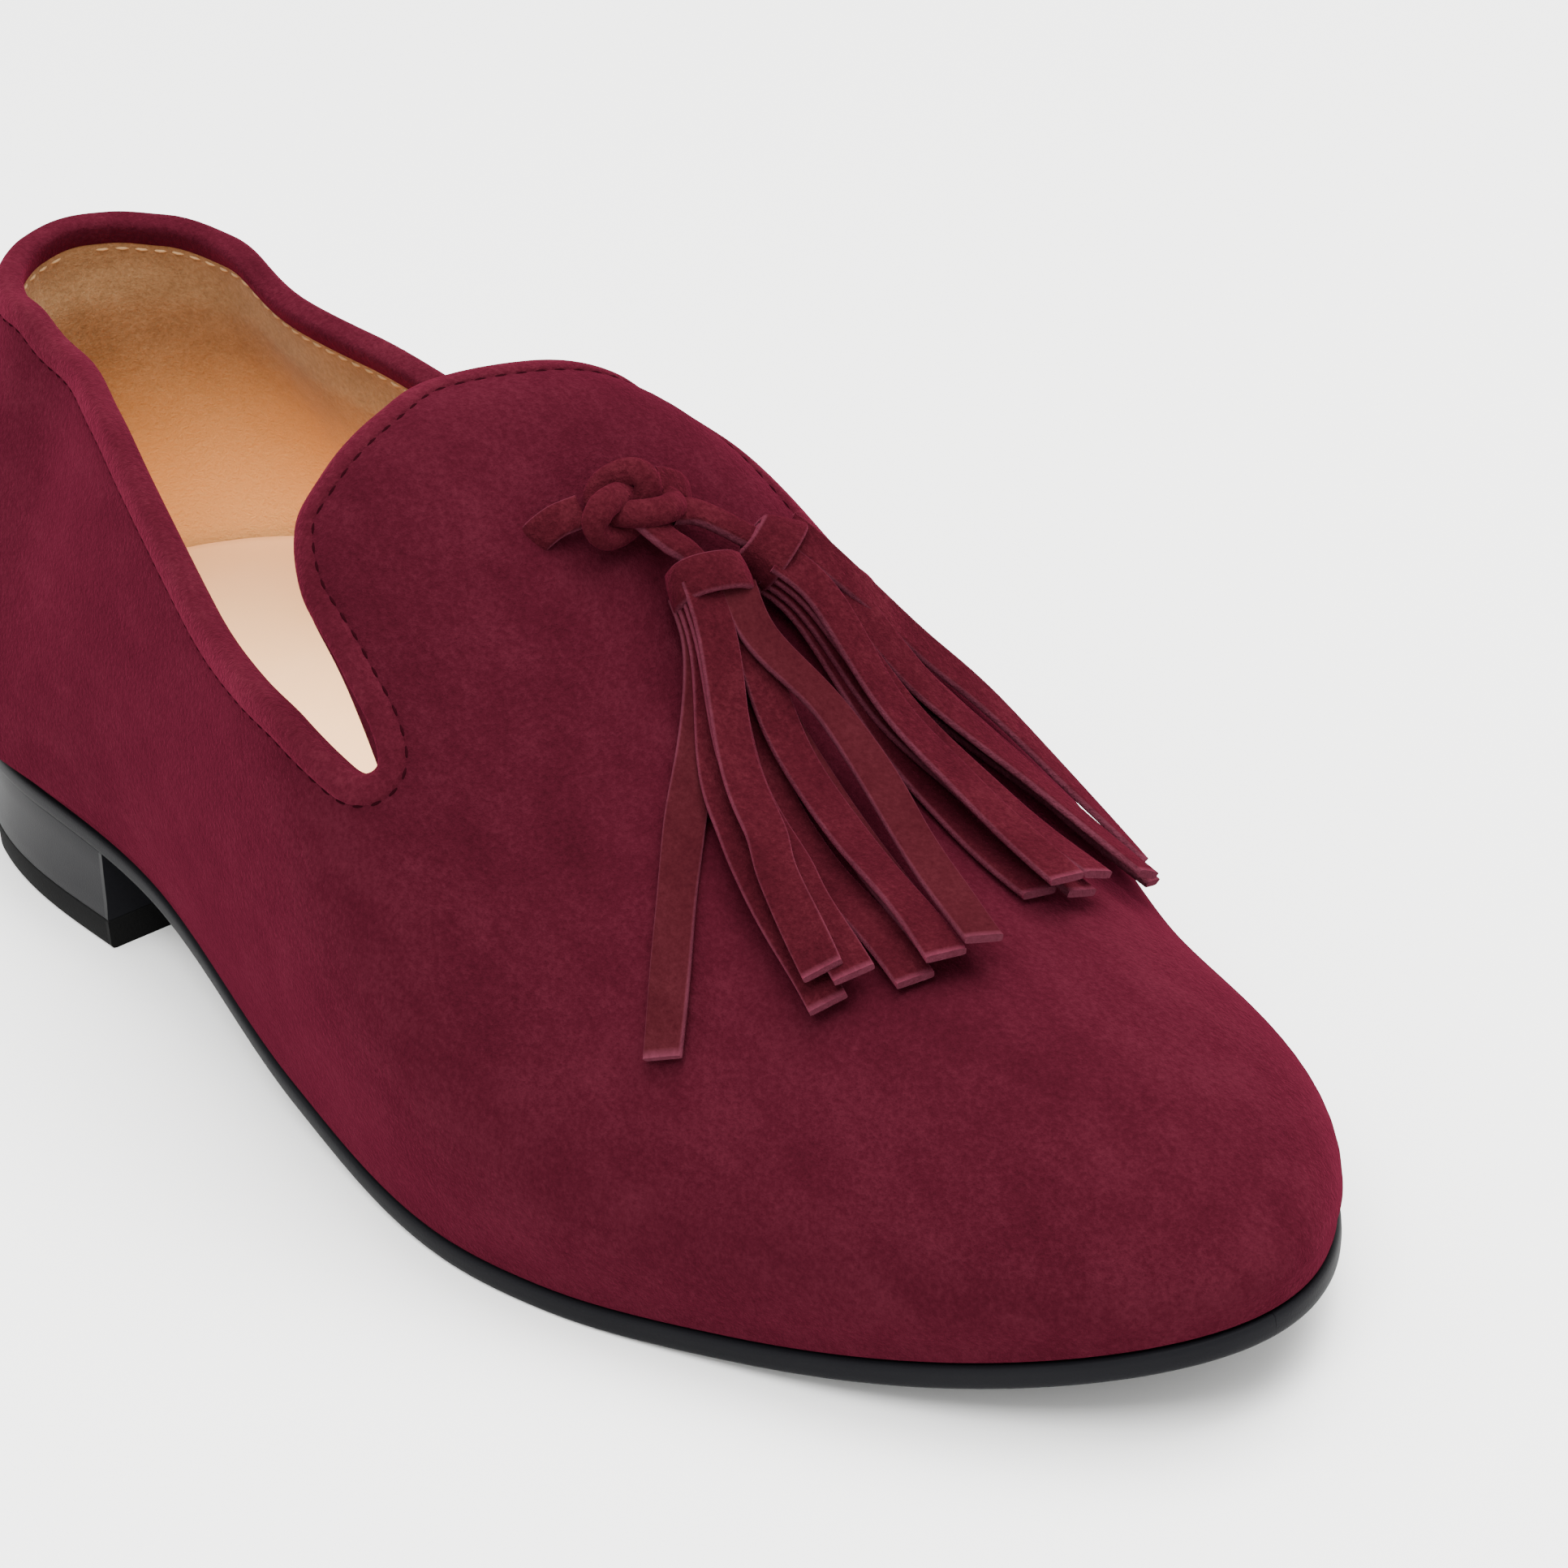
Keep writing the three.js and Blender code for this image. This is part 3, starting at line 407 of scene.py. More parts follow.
def makeSuede(name, look, sheen=0.07, tint=(1.0, 0.10, 0.25, 1), bump=0.00035, edgeTint=None, paintedBounceLight=None):
    # soft nap: broad brushed patches, small flecks and a fine fibre relief; look holds a dark, a middle
    # and a light tone
    dark, middle, light = look
    material, tree, shader, place = startMaterial(name, {
        "Roughness": 0.98, "Specular IOR Level": 0.0,
        "Sheen Weight": sheen, "Sheen Roughness": 0.42, "Sheen Tint": tint,
    })
    patches = noise(tree, place, 26.0, 3.0, 0.6)
    brushed = noise(tree, stretched(tree, place, (0.55, 1.2, 1.0)), 150.0, 4.0, 0.65)
    flecks = noise(tree, place, 1500.0, 2.0, 0.6)
    fibres = noise(tree, place, 3600.0, 2.0, 0.7)
    tone = addValues(tree, [(patches, 0.30), (brushed, 0.34), (flecks, 0.34), (fibres, 0.24)])
    colour = ramp(tree, tone, [(0.44, dark), (0.6, middle), (0.78, light)])
    if edgeTint is not None:
        # the cut edges show the paler inside of the skin, broken up by the fibres
        mark = nodeOf(tree, "ShaderNodeAttribute", attribute_name="mark").outputs["Fac"]
        broken = nodeOf(tree, "ShaderNodeMath", operation="MULTIPLY", use_clamp=True)
        tree.links.new(mark, broken.inputs[0])
        tree.links.new(addValues(tree, [(brushed, 1.1), (flecks, 0.7)]), broken.inputs[1])
        colour = mixColour(tree, broken.outputs[0], colour, edgeTint)
    if paintedBounceLight is not None:
        # painted bounce light: the colour goes over to a paler one from the upper to the lower of two
        # heights, standing in for light thrown up onto the lower lining
        high, low, bounceLitColour = paintedBounceLight
        level = nodeOf(tree, "ShaderNodeSeparateXYZ")
        tree.links.new(place, level.inputs[0])
        bounceLightFade = nodeOf(tree, "ShaderNodeMapRange", interpolation_type="SMOOTHSTEP")
        tree.links.new(level.outputs["Z"], bounceLightFade.inputs["Value"])
        bounceLightFade.inputs["From Min"].default_value = high
        bounceLightFade.inputs["From Max"].default_value = low
        colour = mixColour(tree, bounceLightFade.outputs[0], colour, bounceLitColour)
    tree.links.new(colour, shader.inputs["Base Color"])
    height = addValues(tree, [(flecks, 0.6), (fibres, 0.4), (brushed, 0.8)])
    bumpFrom(tree, shader, height, bump, 0.9)
    return material


def makeGrain(name, base, dark, roughness, pore, bump, shine):
    # smooth leather: fine pores between soft pebbles, with a faint change of tone
    material, tree, shader, place = startMaterial(name, {
        "Roughness": roughness, "Specular IOR Level": shine})
    cells = nodeOf(tree, "ShaderNodeTexVoronoi", feature="DISTANCE_TO_EDGE")
    cells.inputs["Scale"].default_value = pore
    tree.links.new(place, cells.inputs["Vector"])
    broad = noise(tree, place, 40.0, 4.0)
    fine = noise(tree, place, 2200.0, 2.0)
    colour = ramp(tree, addValues(tree, [(broad, 0.8), (fine, 0.2)]), [(0.3, dark), (0.7, base)])
    tree.links.new(colour, shader.inputs["Base Color"])
    bumpFrom(tree, shader, addValues(tree, [(cells.outputs["Distance"], 1.0), (fine, 0.3)]), bump, 0.6)
    return material


cutEdge = (0.066, 0.0155, 0.025)
burgundySuede = makeSuede("burgundySuede", (
    (0.0180, 0.0021, 0.0042), (0.026, 0.0030, 0.0062), (0.038, 0.0054, 0.0100)))
bindingSuede = makeSuede("bindingSuede", (
    (0.021, 0.0024, 0.0047), (0.031, 0.0037, 0.0073), (0.047, 0.0070, 0.0122)), sheen=0.11)
laceSuede = makeSuede("laceSuede", (
    (0.0150, 0.0019, 0.0033), (0.024, 0.0031, 0.0052), (0.040, 0.0062, 0.0094)),
    sheen=0.06, bump=0.0004, edgeTint=cutEdge)
grainLace = makeSuede("grainLace", (
    (0.018, 0.0026, 0.0040), (0.025, 0.0040, 0.0058), (0.034, 0.0062, 0.0086)),
    sheen=0.02, bump=0.00022, edgeTint=cutEdge)
# the tan lining is painted paler below 60 mm: painted bounce light on its lower part
tanSuede = makeSuede("tanSuede", (
    (0.155, 0.082, 0.036), (0.215, 0.122, 0.058), (0.29, 0.178, 0.092)),
    sheen=0.1, tint=(1.0, 0.85, 0.7, 1), bump=0.0003, paintedBounceLight=(0.060, 0.024, (0.76, 0.42, 0.15)))
# light tone, dark tone, roughness, pore scale, relief in metres, shine
grains = {
    "sockLeather": ((1.0, 0.60, 0.30), (0.97, 0.56, 0.26), 0.5, 1300.0, 0.00005, 0.4),
    "soleBlack": ((0.0045, 0.0045, 0.0055), (0.003, 0.003, 0.004), 0.6, 2200.0, 0.00004, 0.05),
    "heelBlack": ((0.0045, 0.0045, 0.0055), (0.003, 0.003, 0.004), 0.5, 2600.0, 0.00003, 0.06),
    "liftRubber": ((0.0045, 0.0045, 0.0045), (0.003, 0.003, 0.003), 0.75, 1500.0, 0.00008, 0.04),
    "tanThread": ((0.40, 0.24, 0.12), (0.32, 0.19, 0.09), 0.8, 3000.0, 0.00012, 0.1),
    "wineThread": ((0.012, 0.0015, 0.003), (0.008, 0.001, 0.002), 0.9, 3000.0, 0.00012, 0.0),
    "boardFibre": ((0.42, 0.30, 0.19), (0.30, 0.21, 0.13), 0.9, 900.0, 0.00012, 0.4),
    "corkFiller": ((0.44, 0.28, 0.14), (0.28, 0.17, 0.08), 0.95, 500.0, 0.00012, 0.4),
    "stiffCloth": ((0.62, 0.56, 0.46), (0.52, 0.46, 0.37), 0.9, 900.0, 0.00012, 0.4),
    "shankSteel": ((0.5, 0.5, 0.52), (0.4, 0.4, 0.42), 0.35, 900.0, 0.00012, 0.4),
}
grained = {name: makeGrain(name, *look) for name, look in grains.items()}
grained["shankSteel"].node_tree.nodes["Principled BSDF"].inputs["Metallic"].default_value = 1.0
hiddenLooks = {"insole_board": "boardFibre", "forepart_filler": "corkFiller", "heel_counter": "stiffCloth",
               "toe_puff": "stiffCloth", "shank": "shankSteel"}
for node, look in hiddenLooks.items():
    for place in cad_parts[node].material_slots:
        place.material = grained[look]
print("materials made")

# ---------- the upper
upperSettings = {"thickness": 1.3, "marginWidth": 9.0, "marginThickness": 1.2, "rows": 72}
wallSpots = wallPlaces(upperSettings["rows"])
wall = overPlan(wallSpots)
wallOut = outward(wallSpots)
wallOut[:, -1] = level


def atEdge(inset, height):
    place = soleEdge(foot) - edgeNormal(foot) * inset
    return np.concatenate([place, (soleTop(place[:, 0]) + layerGap + height)[:, None]], -1)[:, None]


margin, marginTop = upperSettings["marginWidth"], upperSettings["marginThickness"]
# down the outside, round the sole edge, under to the end of the margin and back up the inside
turnedIn = [(-0.05, 2.0), (-0.02, 0.8), (0.25, 0.15), (0.9, 0.0), (margin, 0.0), (margin, marginTop),
            (1.6, marginTop)]
upperRings = np.concatenate([
    wall[:, 1:], *[atEdge(inset, height) for inset, height in turnedIn],
    (wall - wallOut * upperSettings["thickness"])[:, :0:-1],
], 1)
gridPiece("upperShell", upperRings, "shoe", burgundySuede, ["upper"], closed=True)

# rolled suede binding: out of the seam groove, over the edge and down inside.
# Each stop is a distance from the top line and a height over the suede.
bindingProfile = [
    (3.75, -0.35), (3.55, 0.0), (3.3, 0.32), (2.7, 0.55), (1.9, 0.62), (1.1, 0.55), (0.5, 0.30),
    (0.12, -0.2), (0.0, -1.0), (0.0, -1.8), (0.12, -2.45), (0.6, -2.95), (1.5, -3.1), (2.6, -3.05),
    (3.3, -2.9), (3.5, -2.4),
]
bindingCorners = 46
stops = np.linspace(0, len(bindingProfile) - 1, bindingCorners)
falls, heights = (throughPoints(list(enumerate(values)), stops) for values in zip(*bindingProfile))
hemOut = outward(hem)


def onHem(fall):
    # surface points and outward directions at these distances from the top line
    at = np.clip(np.asarray(fall, float), 0, hemReach - 0.01) * hemStops / hemReach
    lower = np.floor(at).astype(int)
    part = (at - lower)[None, :, None]
    point = hemGrid[:, lower] * (1 - part) + hemGrid[:, lower + 1] * part
    return point, hemOut[:, lower] * (1 - part) + hemOut[:, lower + 1] * part


rimPoint, rimNormal = onHem(falls)
gridPiece("toplineBinding", rimPoint + rimNormal * heights[None, :, None], "shoe",
          bindingSuede, ["topline_binding"], closed=True)
print("upper and binding made")

# ---------- the linings
# The tops tuck into the fold of the binding, and the lower parts lie over the stiffeners. They sink from
# depth to stiffenerDepth between two distances from the top line at the heel, and two places at the toe.
liningSettings = {"depth": 2.35, "thickness": 0.9, "split": 96.0, "splitAngle": 60, "rows": 56,
                  "stiffenerDepth": 3.75, "heelSink": (6.0, 13.0), "counterEnd": (52, 72),
                  "toeSink": (150.0, 166.0), "heelThicker": 0.45, "footHeight": 3.6}
innerSpots = wallPlaces(liningSettings["rows"], liningSettings["footHeight"])
inner = overPlan(innerSpots)
innerOut = outward(innerSpots)
innerOut[:, -1] = level
innerRun = np.cumsum(np.linalg.norm(np.diff(inner, axis=1, prepend=inner[:, :1]), axis=-1), 1)
footAngle = np.abs(np.degrees(np.arctan2(np.sin(foot), np.cos(foot))))
behind = (columns[0][:, 0] < liningSettings["split"]) & (footAngle > liningSettings["splitAngle"])
vampColumns = np.flatnonzero(~behind)
heelColumns = np.concatenate([np.arange(vampColumns[-1] - 1, len(foot)), np.arange(0, vampColumns[0] + 2)])
sinkRange = liningSettings["stiffenerDepth"] - liningSettings["depth"]


def liningPiece(name, chosen, extra, sink, node):
    outer = inner[chosen] - innerOut[chosen] * (liningSettings["depth"] - liningSettings["thickness"])
    depth = liningSettings["depth"] + extra + sink[chosen] * sinkRange
    nearer = inner[chosen] - innerOut[chosen] * depth[..., None]
    rings = np.concatenate([outer[:, 2:], nearer[:, :1:-1]], 1)
    return gridPiece(name, rings, "shoe", tanSuede, [node])


counterSide = 1 - smoothStep(inner[..., 0], *liningSettings["counterEnd"])
heelSink = counterSide * smoothStep(innerRun, *liningSettings["heelSink"])
toeSink = smoothStep(inner[..., 0], *liningSettings["toeSink"])
liningPiece("heelLining", heelColumns, liningSettings["heelThicker"], heelSink, "heel_lining")
liningPiece("vampLining", vampColumns, 0.0, toeSink, "vamp_lining")


# ---------- the sole, the sock and the heel
def soleRings(angles, profile):
    # each profile stop is an inset from the sole edge and a height rule
    outer = np.stack([ringPoint(-angles, stop) for stop in profile], 1)
    innerSide = np.stack([ringPoint(angles, stop) for stop in profile[::-1]], 1)
    return np.concatenate([outer, innerSide], 1)


def ringPoint(angle, stop):
    inset, rule, height = stop
    place = soleEdge(angle) - edgeNormal(angle) * inset
    x = np.clip(place[:, 0], 0, last["length"])
    base = {"top": soleTop(x), "under": soleBottom(x), "floor": np.zeros_like(x)}[rule]
    return np.concatenate([place, (base + height)[:, None]], -1)


def edgeAngle(x):
    return math.acos(2 * x / last["length"] - 1)


soleSettings = {"breast": 61, "steps": 250, "heelSteps": 115}
tipAngles = np.array([0.0004, 0.0015, 0.004, 0.008, 0.014])
bendStart, backEnd = 0.022, math.pi - 0.022
toHeel = math.pi - tipAngles[::-1]
around = np.concatenate([tipAngles, np.linspace(bendStart, backEnd, soleSettings["steps"]), toHeel])
heelStart = edgeAngle(soleSettings["breast"])
heelAround = np.concatenate([np.linspace(heelStart, backEnd, soleSettings["heelSteps"]), toHeel])
# name, angles, slot, material, node it replaces, and the stops of its profile
soleParts = [
    ("outsoleBlack", around, "black_sole", "soleBlack", "outsole", [
        (3.0, "top", -0.02), (0.35, "top", 0.0), (0.0, "top", -0.05), (-0.22, "top", -0.3),
        (-0.3, "top", -0.9), (-0.3, "under", 1.2), (-0.22, "under", 0.55), (0.05, "under", 0.15),
        (0.5, "under", 0.0), (3.0, "under", 0.0)]),
    ("heelBlockBlack", heelAround, "black_heel", "heelBlack", "heel_block", [
        (0.5, "under", -0.05), (0.3, "under", -0.5), (0.0, "under", -3.0), (-0.5, "floor", 6.5),
        (-0.85, "floor", 4.4), (-0.8, "floor", 4.15)]),
    ("heelLift", heelAround, "black_rubber", "liftRubber", "heel_top_lift", [
        (-0.7, "floor", 4.1), (-0.92, "floor", 3.9), (-1.15, "floor", 0.6), (-0.95, "floor", 0.15),
        (-0.5, "floor", 0.0)]),
    ("sockPad", around, "sock_leather", "sockLeather", "sock_liner", [
        (14.0, "top", 5.3), (8.0, "top", 5.35), (4.0, "top", 5.5), (2.9, "top", 5.75), (2.5, "top", 5.5),
        (2.5, "top", 4.2), (6.0, "top", 4.1)]),
]
for name, angles, slot, look, node, profile in soleParts:
    gridPiece(name, soleRings(angles, profile), "shoe", grained[look], [node])
print("sole and linings made")

# ---------- the lace, its knot and the tassels
# loose lists the strips that lie over no others at their tips and settle closer to the vamp
laceSettings = {"legWidth": 3.354, "legThickness": 1.9, "thickness": 1.5, "stripWidth": 4.5,
                "stripThickness": 0.95, "stripPitch": 4.0, "layerPitch": 1.35, "bundleLift": 4.9,
                "restLift": 1.25, "collarLength": 4.4, "slope": 0.7, "loose": (("b", 7),), "stripStops": 70}


def along(points, count):
    # even steps along a smooth path through the points
    points = np.array(points, float)
    run = np.concatenate([[0], np.cumsum(np.sqrt(np.linalg.norm(np.diff(points, axis=0), axis=1)))])
    t = np.linspace(0, run[-1], 400)
    path = np.stack([throughPoints(list(zip(run, values)), t) for values in points.T], -1)
    length = np.concatenate([[0], np.cumsum(np.linalg.norm(np.diff(path, axis=0), axis=1))])
    at = np.linspace(0, length[-1], count)
    return np.stack([np.interp(at, length, path[:, k]) for k in range(path.shape[1])], -1)


def evened(values, times=8):
    # a few rounds of averaging with the neighbours, ends held
    values = values.copy()
    for _ in range(times):
        values[1:-1] = (values[:-2] + 2 * values[1:-1] + values[2:]) / 4
    return values


def roundedSection(corners, squareness):
    # a closed section between an oval (squareness 1) and a rectangle (0), half a unit out from its middle
    angle = np.linspace(0, 2 * np.pi, corners, endpoint=False)
    return (np.sign(wave) * np.abs(wave) ** squareness / 2 for wave in (np.cos(angle), np.sin(angle)))


def ribbonRings(centre, normal, width, thickness, twist=0.0, corners=24, squareness=0.3):
    # a rounded flat section carried along the path: across is at right angles to the path and the suede
    count = len(centre)
    forward = np.gradient(centre, axis=0)
    forward /= np.linalg.norm(forward, axis=1, keepdims=True)
    across = np.cross(forward, normal)
    across /= np.linalg.norm(across, axis=1, keepdims=True)
    up = np.cross(across, forward)
    turn = np.broadcast_to(np.asarray(twist, float), (count,))[:, None]
    across, up = across * np.cos(turn) + up * np.sin(turn), up * np.cos(turn) - across * np.sin(turn)
    a, b = roundedSection(corners, squareness)
    wide = np.broadcast_to(np.asarray(width, float), (count,))[:, None, None]
    thick = np.broadcast_to(np.asarray(thickness, float), (count,))[:, None, None]
    rings = centre[:, None] + across[:, None] * a[None, :, None] * wide
    rings = rings + up[:, None] * b[None, :, None] * thick
    cutSides = np.clip((np.abs(a * 2) - 0.92) / 0.08, 0, 1) * np.clip(1.6 - np.abs(b * 2) * 1.2, 0, 1)
    return rings, np.broadcast_to(cutSides, (count, corners)).copy()


# A strip has its layer, its place across the bundle, and a middle and a tip seen from above.
# grain lists the strips that show their smooth side.
tassels = {
    "a": {
        "leg": [(138.6, 4.8, 3.4), (141.4, 6.4, 4.3), (142.4, 7.1, 4.7), (144.6, 7.9, 4.9)],
        "collar": (144.0, 8.0), "axis": -15, "flare": 0.92, "grain": (0, 7, 3),
        "strips": [
            (0, -0.5, (165.5, -9.4), (182.4, -24.9)), (0, 0.5, (167, 1.5), (198.4, -3.7)),
            (1, -0.5, (167, -5), (194.4, -11.6)), (1, 0.5, (165, 6.5), (196, 0.6)),
            (2, -0.5, (167, -2.4), (195.1, -8.3)), (2, 0.5, (166, 5), (199.6, -1.0)),
            (3, -0.5, (167.3, -3.3), (192.8, -10.3)), (3, 0.5, (161.4, 11.5), (200.6, 2.6)),
        ],
    },
    "b": {
        "leg": [(138.9, 8.8, 3.1), (139.3, 11.4, 3.2), (140.5, 13.2, 3.9), (143.5, 16.6, 4.8)],
        "collar": (142.3, 15.6), "axis": 41, "flare": 0.6, "grain": (),
        "strips": [
            (0, -0.5, (167, 19), (191, 18)), (0, 0.5, (162, 31), (181, 38)),
            (1, -0.5, (168, 21), (193, 21.5)), (1, 0.5, (165, 31), (185.3, 35.4)),
            (2, -0.5, (168, 22), (192, 23.6)), (2, 0.5, (168.6, 29.4), (188.9, 31.6)),
            (3, -0.5, (166.5, 18.7), (193.9, 18)), (3, 0.5, (157.2, 35.5), (177.2, 40.2)),
        ],
    },
}
# Each stop of the collar is a distance along it and a share of its full size: a soft lip at both ends.
collarSettings = {
    "width": 9.6, "height": 7.8, "corners": 48, "squareness": 0.85,
    "profile": [(0.0, 0.55), (-0.12, 0.8), (0.0, 0.93), (0.25, 1.0), (1.5, 1.03), (3.0, 1.03), (4.4, 1.0),
                (4.75, 0.95), (4.8, 0.86), (4.5, 0.78), (3.8, 0.74)],
}


def unit(direction):
    return direction / np.linalg.norm(direction)


def buildStrip(letter, tassel, i):
    # the strips leave the collar as a bundle, settle on the vamp and fan out, each in its own layer
    layer, place, middle, tip = tassel["strips"][i]
    turn = math.radians(tassel["axis"])
    axisAhead = np.array([math.cos(turn), math.sin(turn)])
    axisAside = np.array([-math.sin(turn), math.cos(turn)])
    reach = laceSettings["collarLength"] * laceSettings["slope"] + 0.8
    origin = np.array(tassel["collar"])
    sideways = axisAside * place * laceSettings["stripPitch"]
    roots = [origin + axisAhead * (reach + more) + sideways for more in (-1.6, 2.5)]
    count = laceSettings["stripStops"]
    spots = along([*roots, middle, tip], count)
    gone = np.maximum((spots - origin) @ axisAhead - reach, 0)
    pitch = laceSettings["layerPitch"] * (0.3 if (letter, i) in laceSettings["loose"] else 1.0)
    settled = laceSettings["restLift"] + pitch * layer
    bundled = laceSettings["bundleLift"] + laceSettings["layerPitch"] * (layer - 1.5)
    share = smoothStep(gone, 0, 16)
    wave = 0.25 * np.sin(np.linspace(0, 2.2 * np.pi, count) + i * 1.7) * share
    centre, normal = overVamp(spots, bundled * (1 - share) + settled * share + wave)
    twist = 0.10 * np.sin(np.linspace(0, 1.6 * np.pi, count) + i * 2.1) * share
    width = laceSettings["stripWidth"] * (1 + 0.03 * np.sin(np.linspace(0, 5 * np.pi, count) + i))
    rings, marks = ribbonRings(evened(centre), evened(normal), width, laceSettings["stripThickness"], twist)
    marks[-1] = 1
    look = grainLace if i in tassel["grain"] else laceSuede
    gridPiece(f"strip{letter.upper()}{i + 1}", rings, "tassel_" + letter, look,
              [f"tassel_{letter}_strip_{i + 1}"], marks=marks)


def buildCollar(letter, tassel):
    # a band wound round the bundle, opening from its flare to its full size
    turn = math.radians(tassel["axis"])
    axisAhead = np.array([math.cos(turn), math.sin(turn)])
    origin = np.array(tassel["collar"])
    lift = np.array([laceSettings["bundleLift"]])
    start, normal = overVamp(origin[None], lift)
    reached = origin + axisAhead * laceSettings["collarLength"] * laceSettings["slope"]
    end, _ = overVamp(reached[None], lift)
    forward = unit((end - start)[0])
    across = unit(np.cross(forward, normal[0]))
    up = np.cross(across, forward)
    profile = np.array(collarSettings["profile"])
    opened = np.clip(profile[:, 0] / laceSettings["collarLength"], 0, 1)
    flare = tassel["flare"] + (1 - tassel["flare"]) * opened
    a, b = roundedSection(collarSettings["corners"], collarSettings["squareness"])
    spread = a[:, None] * across * collarSettings["width"] + b[:, None] * up * collarSettings["height"]
    centre = start + forward * profile[:, :1]
    rings = centre[:, None] + spread[None] * (flare * profile[:, 1])[:, None, None]
    cutEnds = (profile[:, 0] > 4.5) | (profile[:, 0] < 0.1)
    marks = np.repeat(cutEnds[:, None] * 0.7, collarSettings["corners"], 1)
    gridPiece("collar" + letter.upper(), rings, "tassel_" + letter, laceSuede,
              [f"tassel_{letter}_collar"], marks=marks)


def buildLace(name, node, body, points, width, thickness, twist, squareness):
    spots = along(points, 40)
    centre, normal = overVamp(spots[:, :2], spots[:, 2])
    rings, marks = ribbonRings(centre, normal, width, thickness, twist, squareness=squareness)
    gridPiece(name, rings, body, laceSuede, [node], marks=marks)


for letter, tassel in tassels.items():
    for i in range(len(tassel["strips"])):
        buildStrip(letter, tassel, i)
    buildCollar(letter, tassel)
    buildLace("laceLeg" + letter.upper(), "lace_leg_" + letter, "leg_" + letter, tassel["leg"],
              laceSettings["legWidth"], laceSettings["legThickness"], 0.25, 0.7)
buildLace("laceOuter", "lace_outer", "shoe",
          [(137.2, -6.4, -0.9), (137.0, -5.6, 0.3), (136.8, -3.8, 1.6), (136.9, -1.0, 2.8)],
          3.8, laceSettings["thickness"], 0.0, 0.6)
buildLace("laceInner", "lace_inner", "shoe",
          [(136.4, 9.0, 2.9), (136.6, 11.0, 2.2), (136.9, 12.6, 1.3), (137.1, 14.0, -0.3)],
          3.4, laceSettings["thickness"], 0.0, 0.6)

# The knot is a three-loop closed cord: along it, deep * (cos t - 2 cos 2t) ahead, wide * (sin t + 2 sin 2t)
# across and tall * sin 3t down.
knotSettings = {"centre": (137.6, 4.2), "lift": 3.6, "wide": 2.0, "deep": 1.15, "tall": 1.5, "width": 3.3,
                "thickness": 2.3, "stops": 240, "corners": 20}
knotPlace, knotLift = np.array([knotSettings["centre"]]), np.array([knotSettings["lift"]])
centre, normal = overVamp(knotPlace, knotLift)
nearby, _ = overVamp(knotPlace + [2, 0], knotLift)
across = unit(np.cross(normal[0], (nearby - centre)[0]))
forward = np.cross(across, normal[0])
turn = np.linspace(0, 2 * np.pi, knotSettings["stops"], endpoint=False)[:, None]
knot = centre + forward * knotSettings["deep"] * (np.cos(turn) - 2 * np.cos(2 * turn))
knot = knot + across * knotSettings["wide"] * (np.sin(turn) + 2 * np.sin(2 * turn))
knot = knot - normal * knotSettings["tall"] * np.sin(3 * turn)
heading = np.roll(knot, -1, 0) - np.roll(knot, 1, 0)
heading /= np.linalg.norm(heading, axis=1, keepdims=True)
sideways = np.cross(heading, normal[0])
sideways /= np.linalg.norm(sideways, axis=1, keepdims=True)
upward = np.cross(sideways, heading)
a, b = roundedSection(knotSettings["corners"], 1.0)
rings = knot[:, None] + sideways[:, None] * (a * knotSettings["width"])[None, :, None]
rings = rings + upward[:, None] * (b * knotSettings["thickness"])[None, :, None]
gridPiece("laceKnot", rings, "shoe", laceSuede, ["lace_knot"], closed=True,
          marks=np.zeros(rings.shape[:2]))
print("lace and tassels made")


# ---------- stitches: short spindles of thread laid end to end
def stitchRow(name, path, out, spacing, length, radius, material):
    run = np.concatenate([[0], np.cumsum(np.linalg.norm(np.diff(path, axis=0), axis=1))])
    at = np.arange(spacing, run[-1] - spacing, spacing)

    def atRun(values, where):
        return np.stack([np.interp(where, run, values[:, k]) for k in range(3)], -1)

    centre, normal = atRun(path, at), atRun(out, at)
    heading = atRun(path, at + 0.2) - centre
    heading /= np.linalg.norm(heading, axis=1, keepdims=True)
    side = np.cross(heading, normal)
    side /= np.linalg.norm(side, axis=1, keepdims=True)
    up = np.cross(side, heading)
    # five rings of six corners, thin at the ends, which dip into the material
    stops = np.array([(-0.5, 0.25), (-0.3, 0.85), (0, 1.0), (0.3, 0.85), (0.5, 0.25)])
    angle = np.linspace(0, 2 * np.pi, 6, endpoint=False)
    heading, side, up = (axis[:, None, None] for axis in (heading, side, up))
    spread = side * np.cos(angle)[None, None, :, None] + up * np.sin(angle)[None, None, :, None]
    shape = centre[:, None, None] + heading * (stops[:, 0] * length)[None, :, None, None]
    shape = shape + spread * (stops[:, 1] * radius)[None, :, None, None]
    shape = shape - up * (np.abs(stops[:, 0]) * radius)[None, :, None, None]
    faces = []
    for stitch in range(len(at)):
        base = stitch * 30
        for i in range(4):
            for j in range(6):
                here, beside = base + i * 6 + j, base + i * 6 + (j + 1) % 6
                faces.append((here, beside, beside + 6, here + 6))
        faces.append(tuple(base + j for j in range(5, -1, -1)))
        faces.append(tuple(base + 24 + j for j in range(6)))
    mesh = bpy.data.meshes.new(name)
    mesh.from_pydata(toFrame(shape).tolist(), [], faces)
    mesh.polygons.foreach_set("use_smooth", [True] * len(faces))
    mesh.update()
    return shownPiece(name, mesh, "shoe", material)


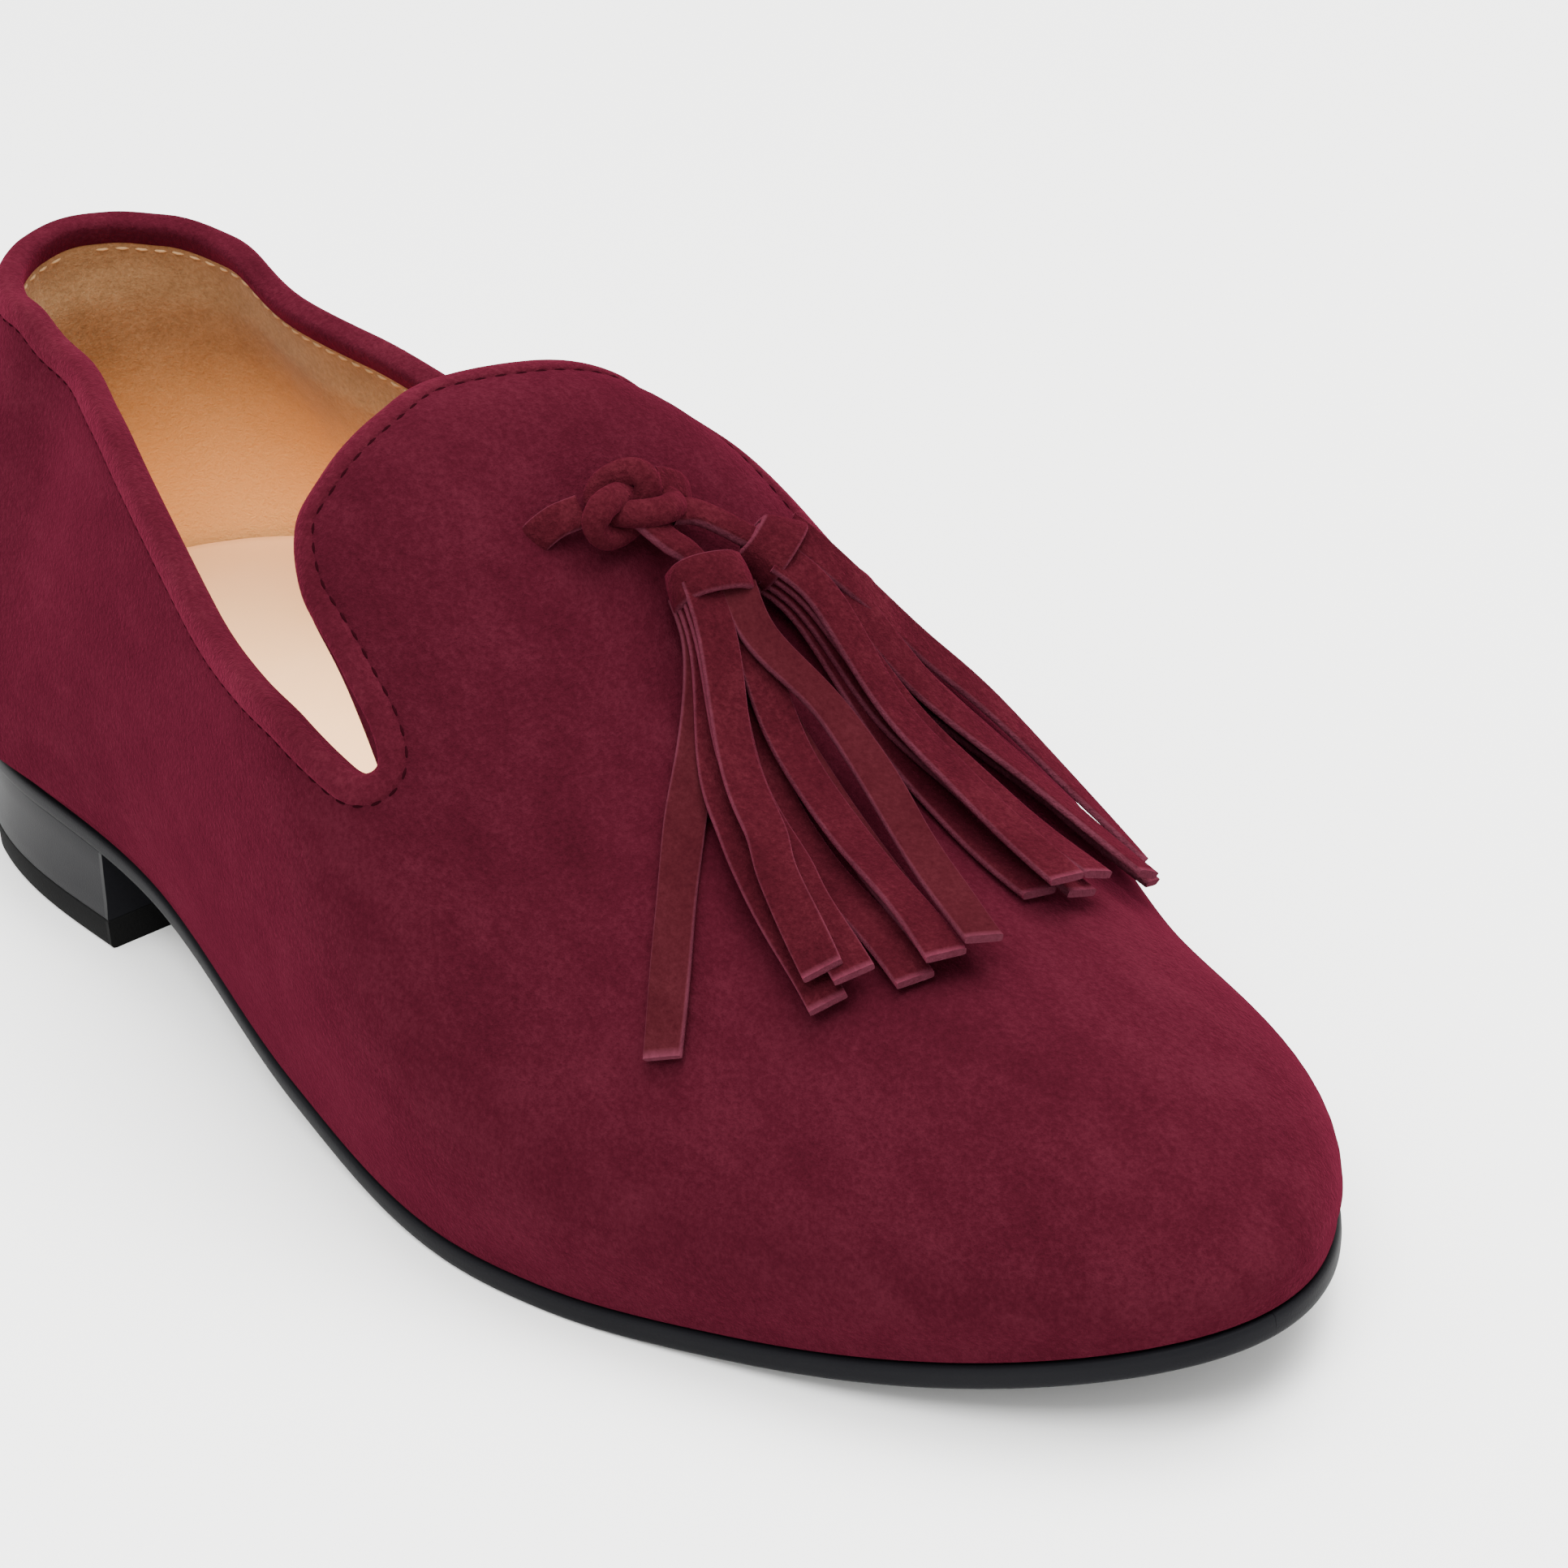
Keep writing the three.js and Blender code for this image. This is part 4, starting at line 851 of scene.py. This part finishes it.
# distance from the top line, height over the suede, side (1 outside, -1 inside), spacing, length, radius
stitchRows = [
    ("liningStitches", 4.3, -2.85, -1, 2.6, 2.0, 0.24, "tan_suede_lining", "tanThread"),
    ("bindingStitches", 3.62, -0.02, 1, 2.4, 1.7, 0.2, "burgundy_suede", "wineThread"),
]
loop = np.append(np.arange(len(foot)), 0)
for name, fall, height, side, spacing, length, radius, slot, look in stitchRows:
    seam, seamOut = (values[:, 0][loop] for values in onHem([fall]))
    stitchRow(name, seam + seamOut * height, seamOut * side, spacing, length, radius, grained[look])
print("stitches made")

# ---------- the studio
floorSize = 6.0
floorCorners = [(x * floorSize, y * floorSize, 0) for x, y in ((-1, -1), (1, -1), (1, 1), (-1, 1))]
mesh = bpy.data.meshes.new("studioFloor")
mesh.from_pydata(floorCorners, [], [(0, 1, 2, 3)])
floor = bpy.data.objects.new("studioFloor", mesh)
bpy.context.scene.collection.objects.link(floor)
floorPaint = startMaterial("floorPaint", {
    "Base Color": (0.86, 0.86, 0.85, 1), "Roughness": 0.9, "Specular IOR Level": 0.1})[0]
mesh.materials.append(floorPaint)

world = bpy.data.worlds.new("studioAir")
bpy.context.scene.world = world
world.use_nodes = True
world.node_tree.nodes["Background"].inputs["Color"].default_value = (1.0, 1.0, 0.995, 1)
world.node_tree.nodes["Background"].inputs["Strength"].default_value = 2.15


def standing(right, up, back, position):
    # the matrix of a camera or lamp from its three directions and its place
    rows = [[float(axis[i]) for axis in (right, up, back, position)] for i in range(3)]
    return Matrix(rows + [[0, 0, 0, 1]])


def softBox(name, position, target, size, power, colour=(1, 1, 1)):
    light = bpy.data.lights.new(name, "AREA")
    light.shape = "RECTANGLE"
    light.size, light.size_y = size
    light.energy = power
    light.color = colour
    lamp = bpy.data.objects.new(name, light)
    bpy.context.scene.collection.objects.link(lamp)
    back = np.array(position, float) - np.array(target, float)
    back /= np.linalg.norm(back)
    right = np.cross([0, 0, 1], back) if abs(back[2]) < 0.999 else np.array([1.0, 0, 0])
    right /= np.linalg.norm(right)
    lamp.matrix_world = standing(right, np.cross(back, right), back, position)


softBox("overhead", (0.15, 0.5, 1.8), (0.0, 0.0, 0.0), (1.5, 1.3), 92.0)
softBox("frontFill", (0.6, -0.6, 1.4), (0.0, 0.0, 0.03), (0.9, 0.7), 34.0)

cameraSettings = {"azimuth": 56.82, "elevation": 30.0, "roll": -6.94, "distance": 463.7,
                  "target": (156.73, 20.02, 20.0), "focalPixels": 4896.5, "imageSize": 1932,
                  "centreShift": (116.35, 159.35)}
azimuth, elevation, roll = (math.radians(cameraSettings[key]) for key in ("azimuth", "elevation", "roll"))
level = np.array([math.sin(azimuth), -math.cos(azimuth), 0.0])
upright = np.array([0.0, 0.0, 1.0])
back = level * math.cos(elevation) + upright * math.sin(elevation)
right = np.array([math.cos(azimuth), math.sin(azimuth), 0.0])
up = upright * math.cos(elevation) - level * math.sin(elevation)
rolledRight = right * math.cos(roll) + up * math.sin(roll)
rolledUp = up * math.cos(roll) - right * math.sin(roll)
eye = (np.array(cameraSettings["target"]) + back * cameraSettings["distance"] - frameShift) / 1000
lens = bpy.data.cameras.new("studioCamera")
lens.sensor_width = 36.0
lens.lens = cameraSettings["focalPixels"] / cameraSettings["imageSize"] * lens.sensor_width
lens.shift_x = -cameraSettings["centreShift"][0] / cameraSettings["imageSize"]
lens.shift_y = cameraSettings["centreShift"][1] / cameraSettings["imageSize"]
lens.clip_start = 0.01
camera = bpy.data.objects.new("studioCamera", lens)
bpy.context.scene.collection.objects.link(camera)
camera.matrix_world = standing(rolledRight, rolledUp, back, eye)
bpy.context.scene.camera = camera
print("studio made")
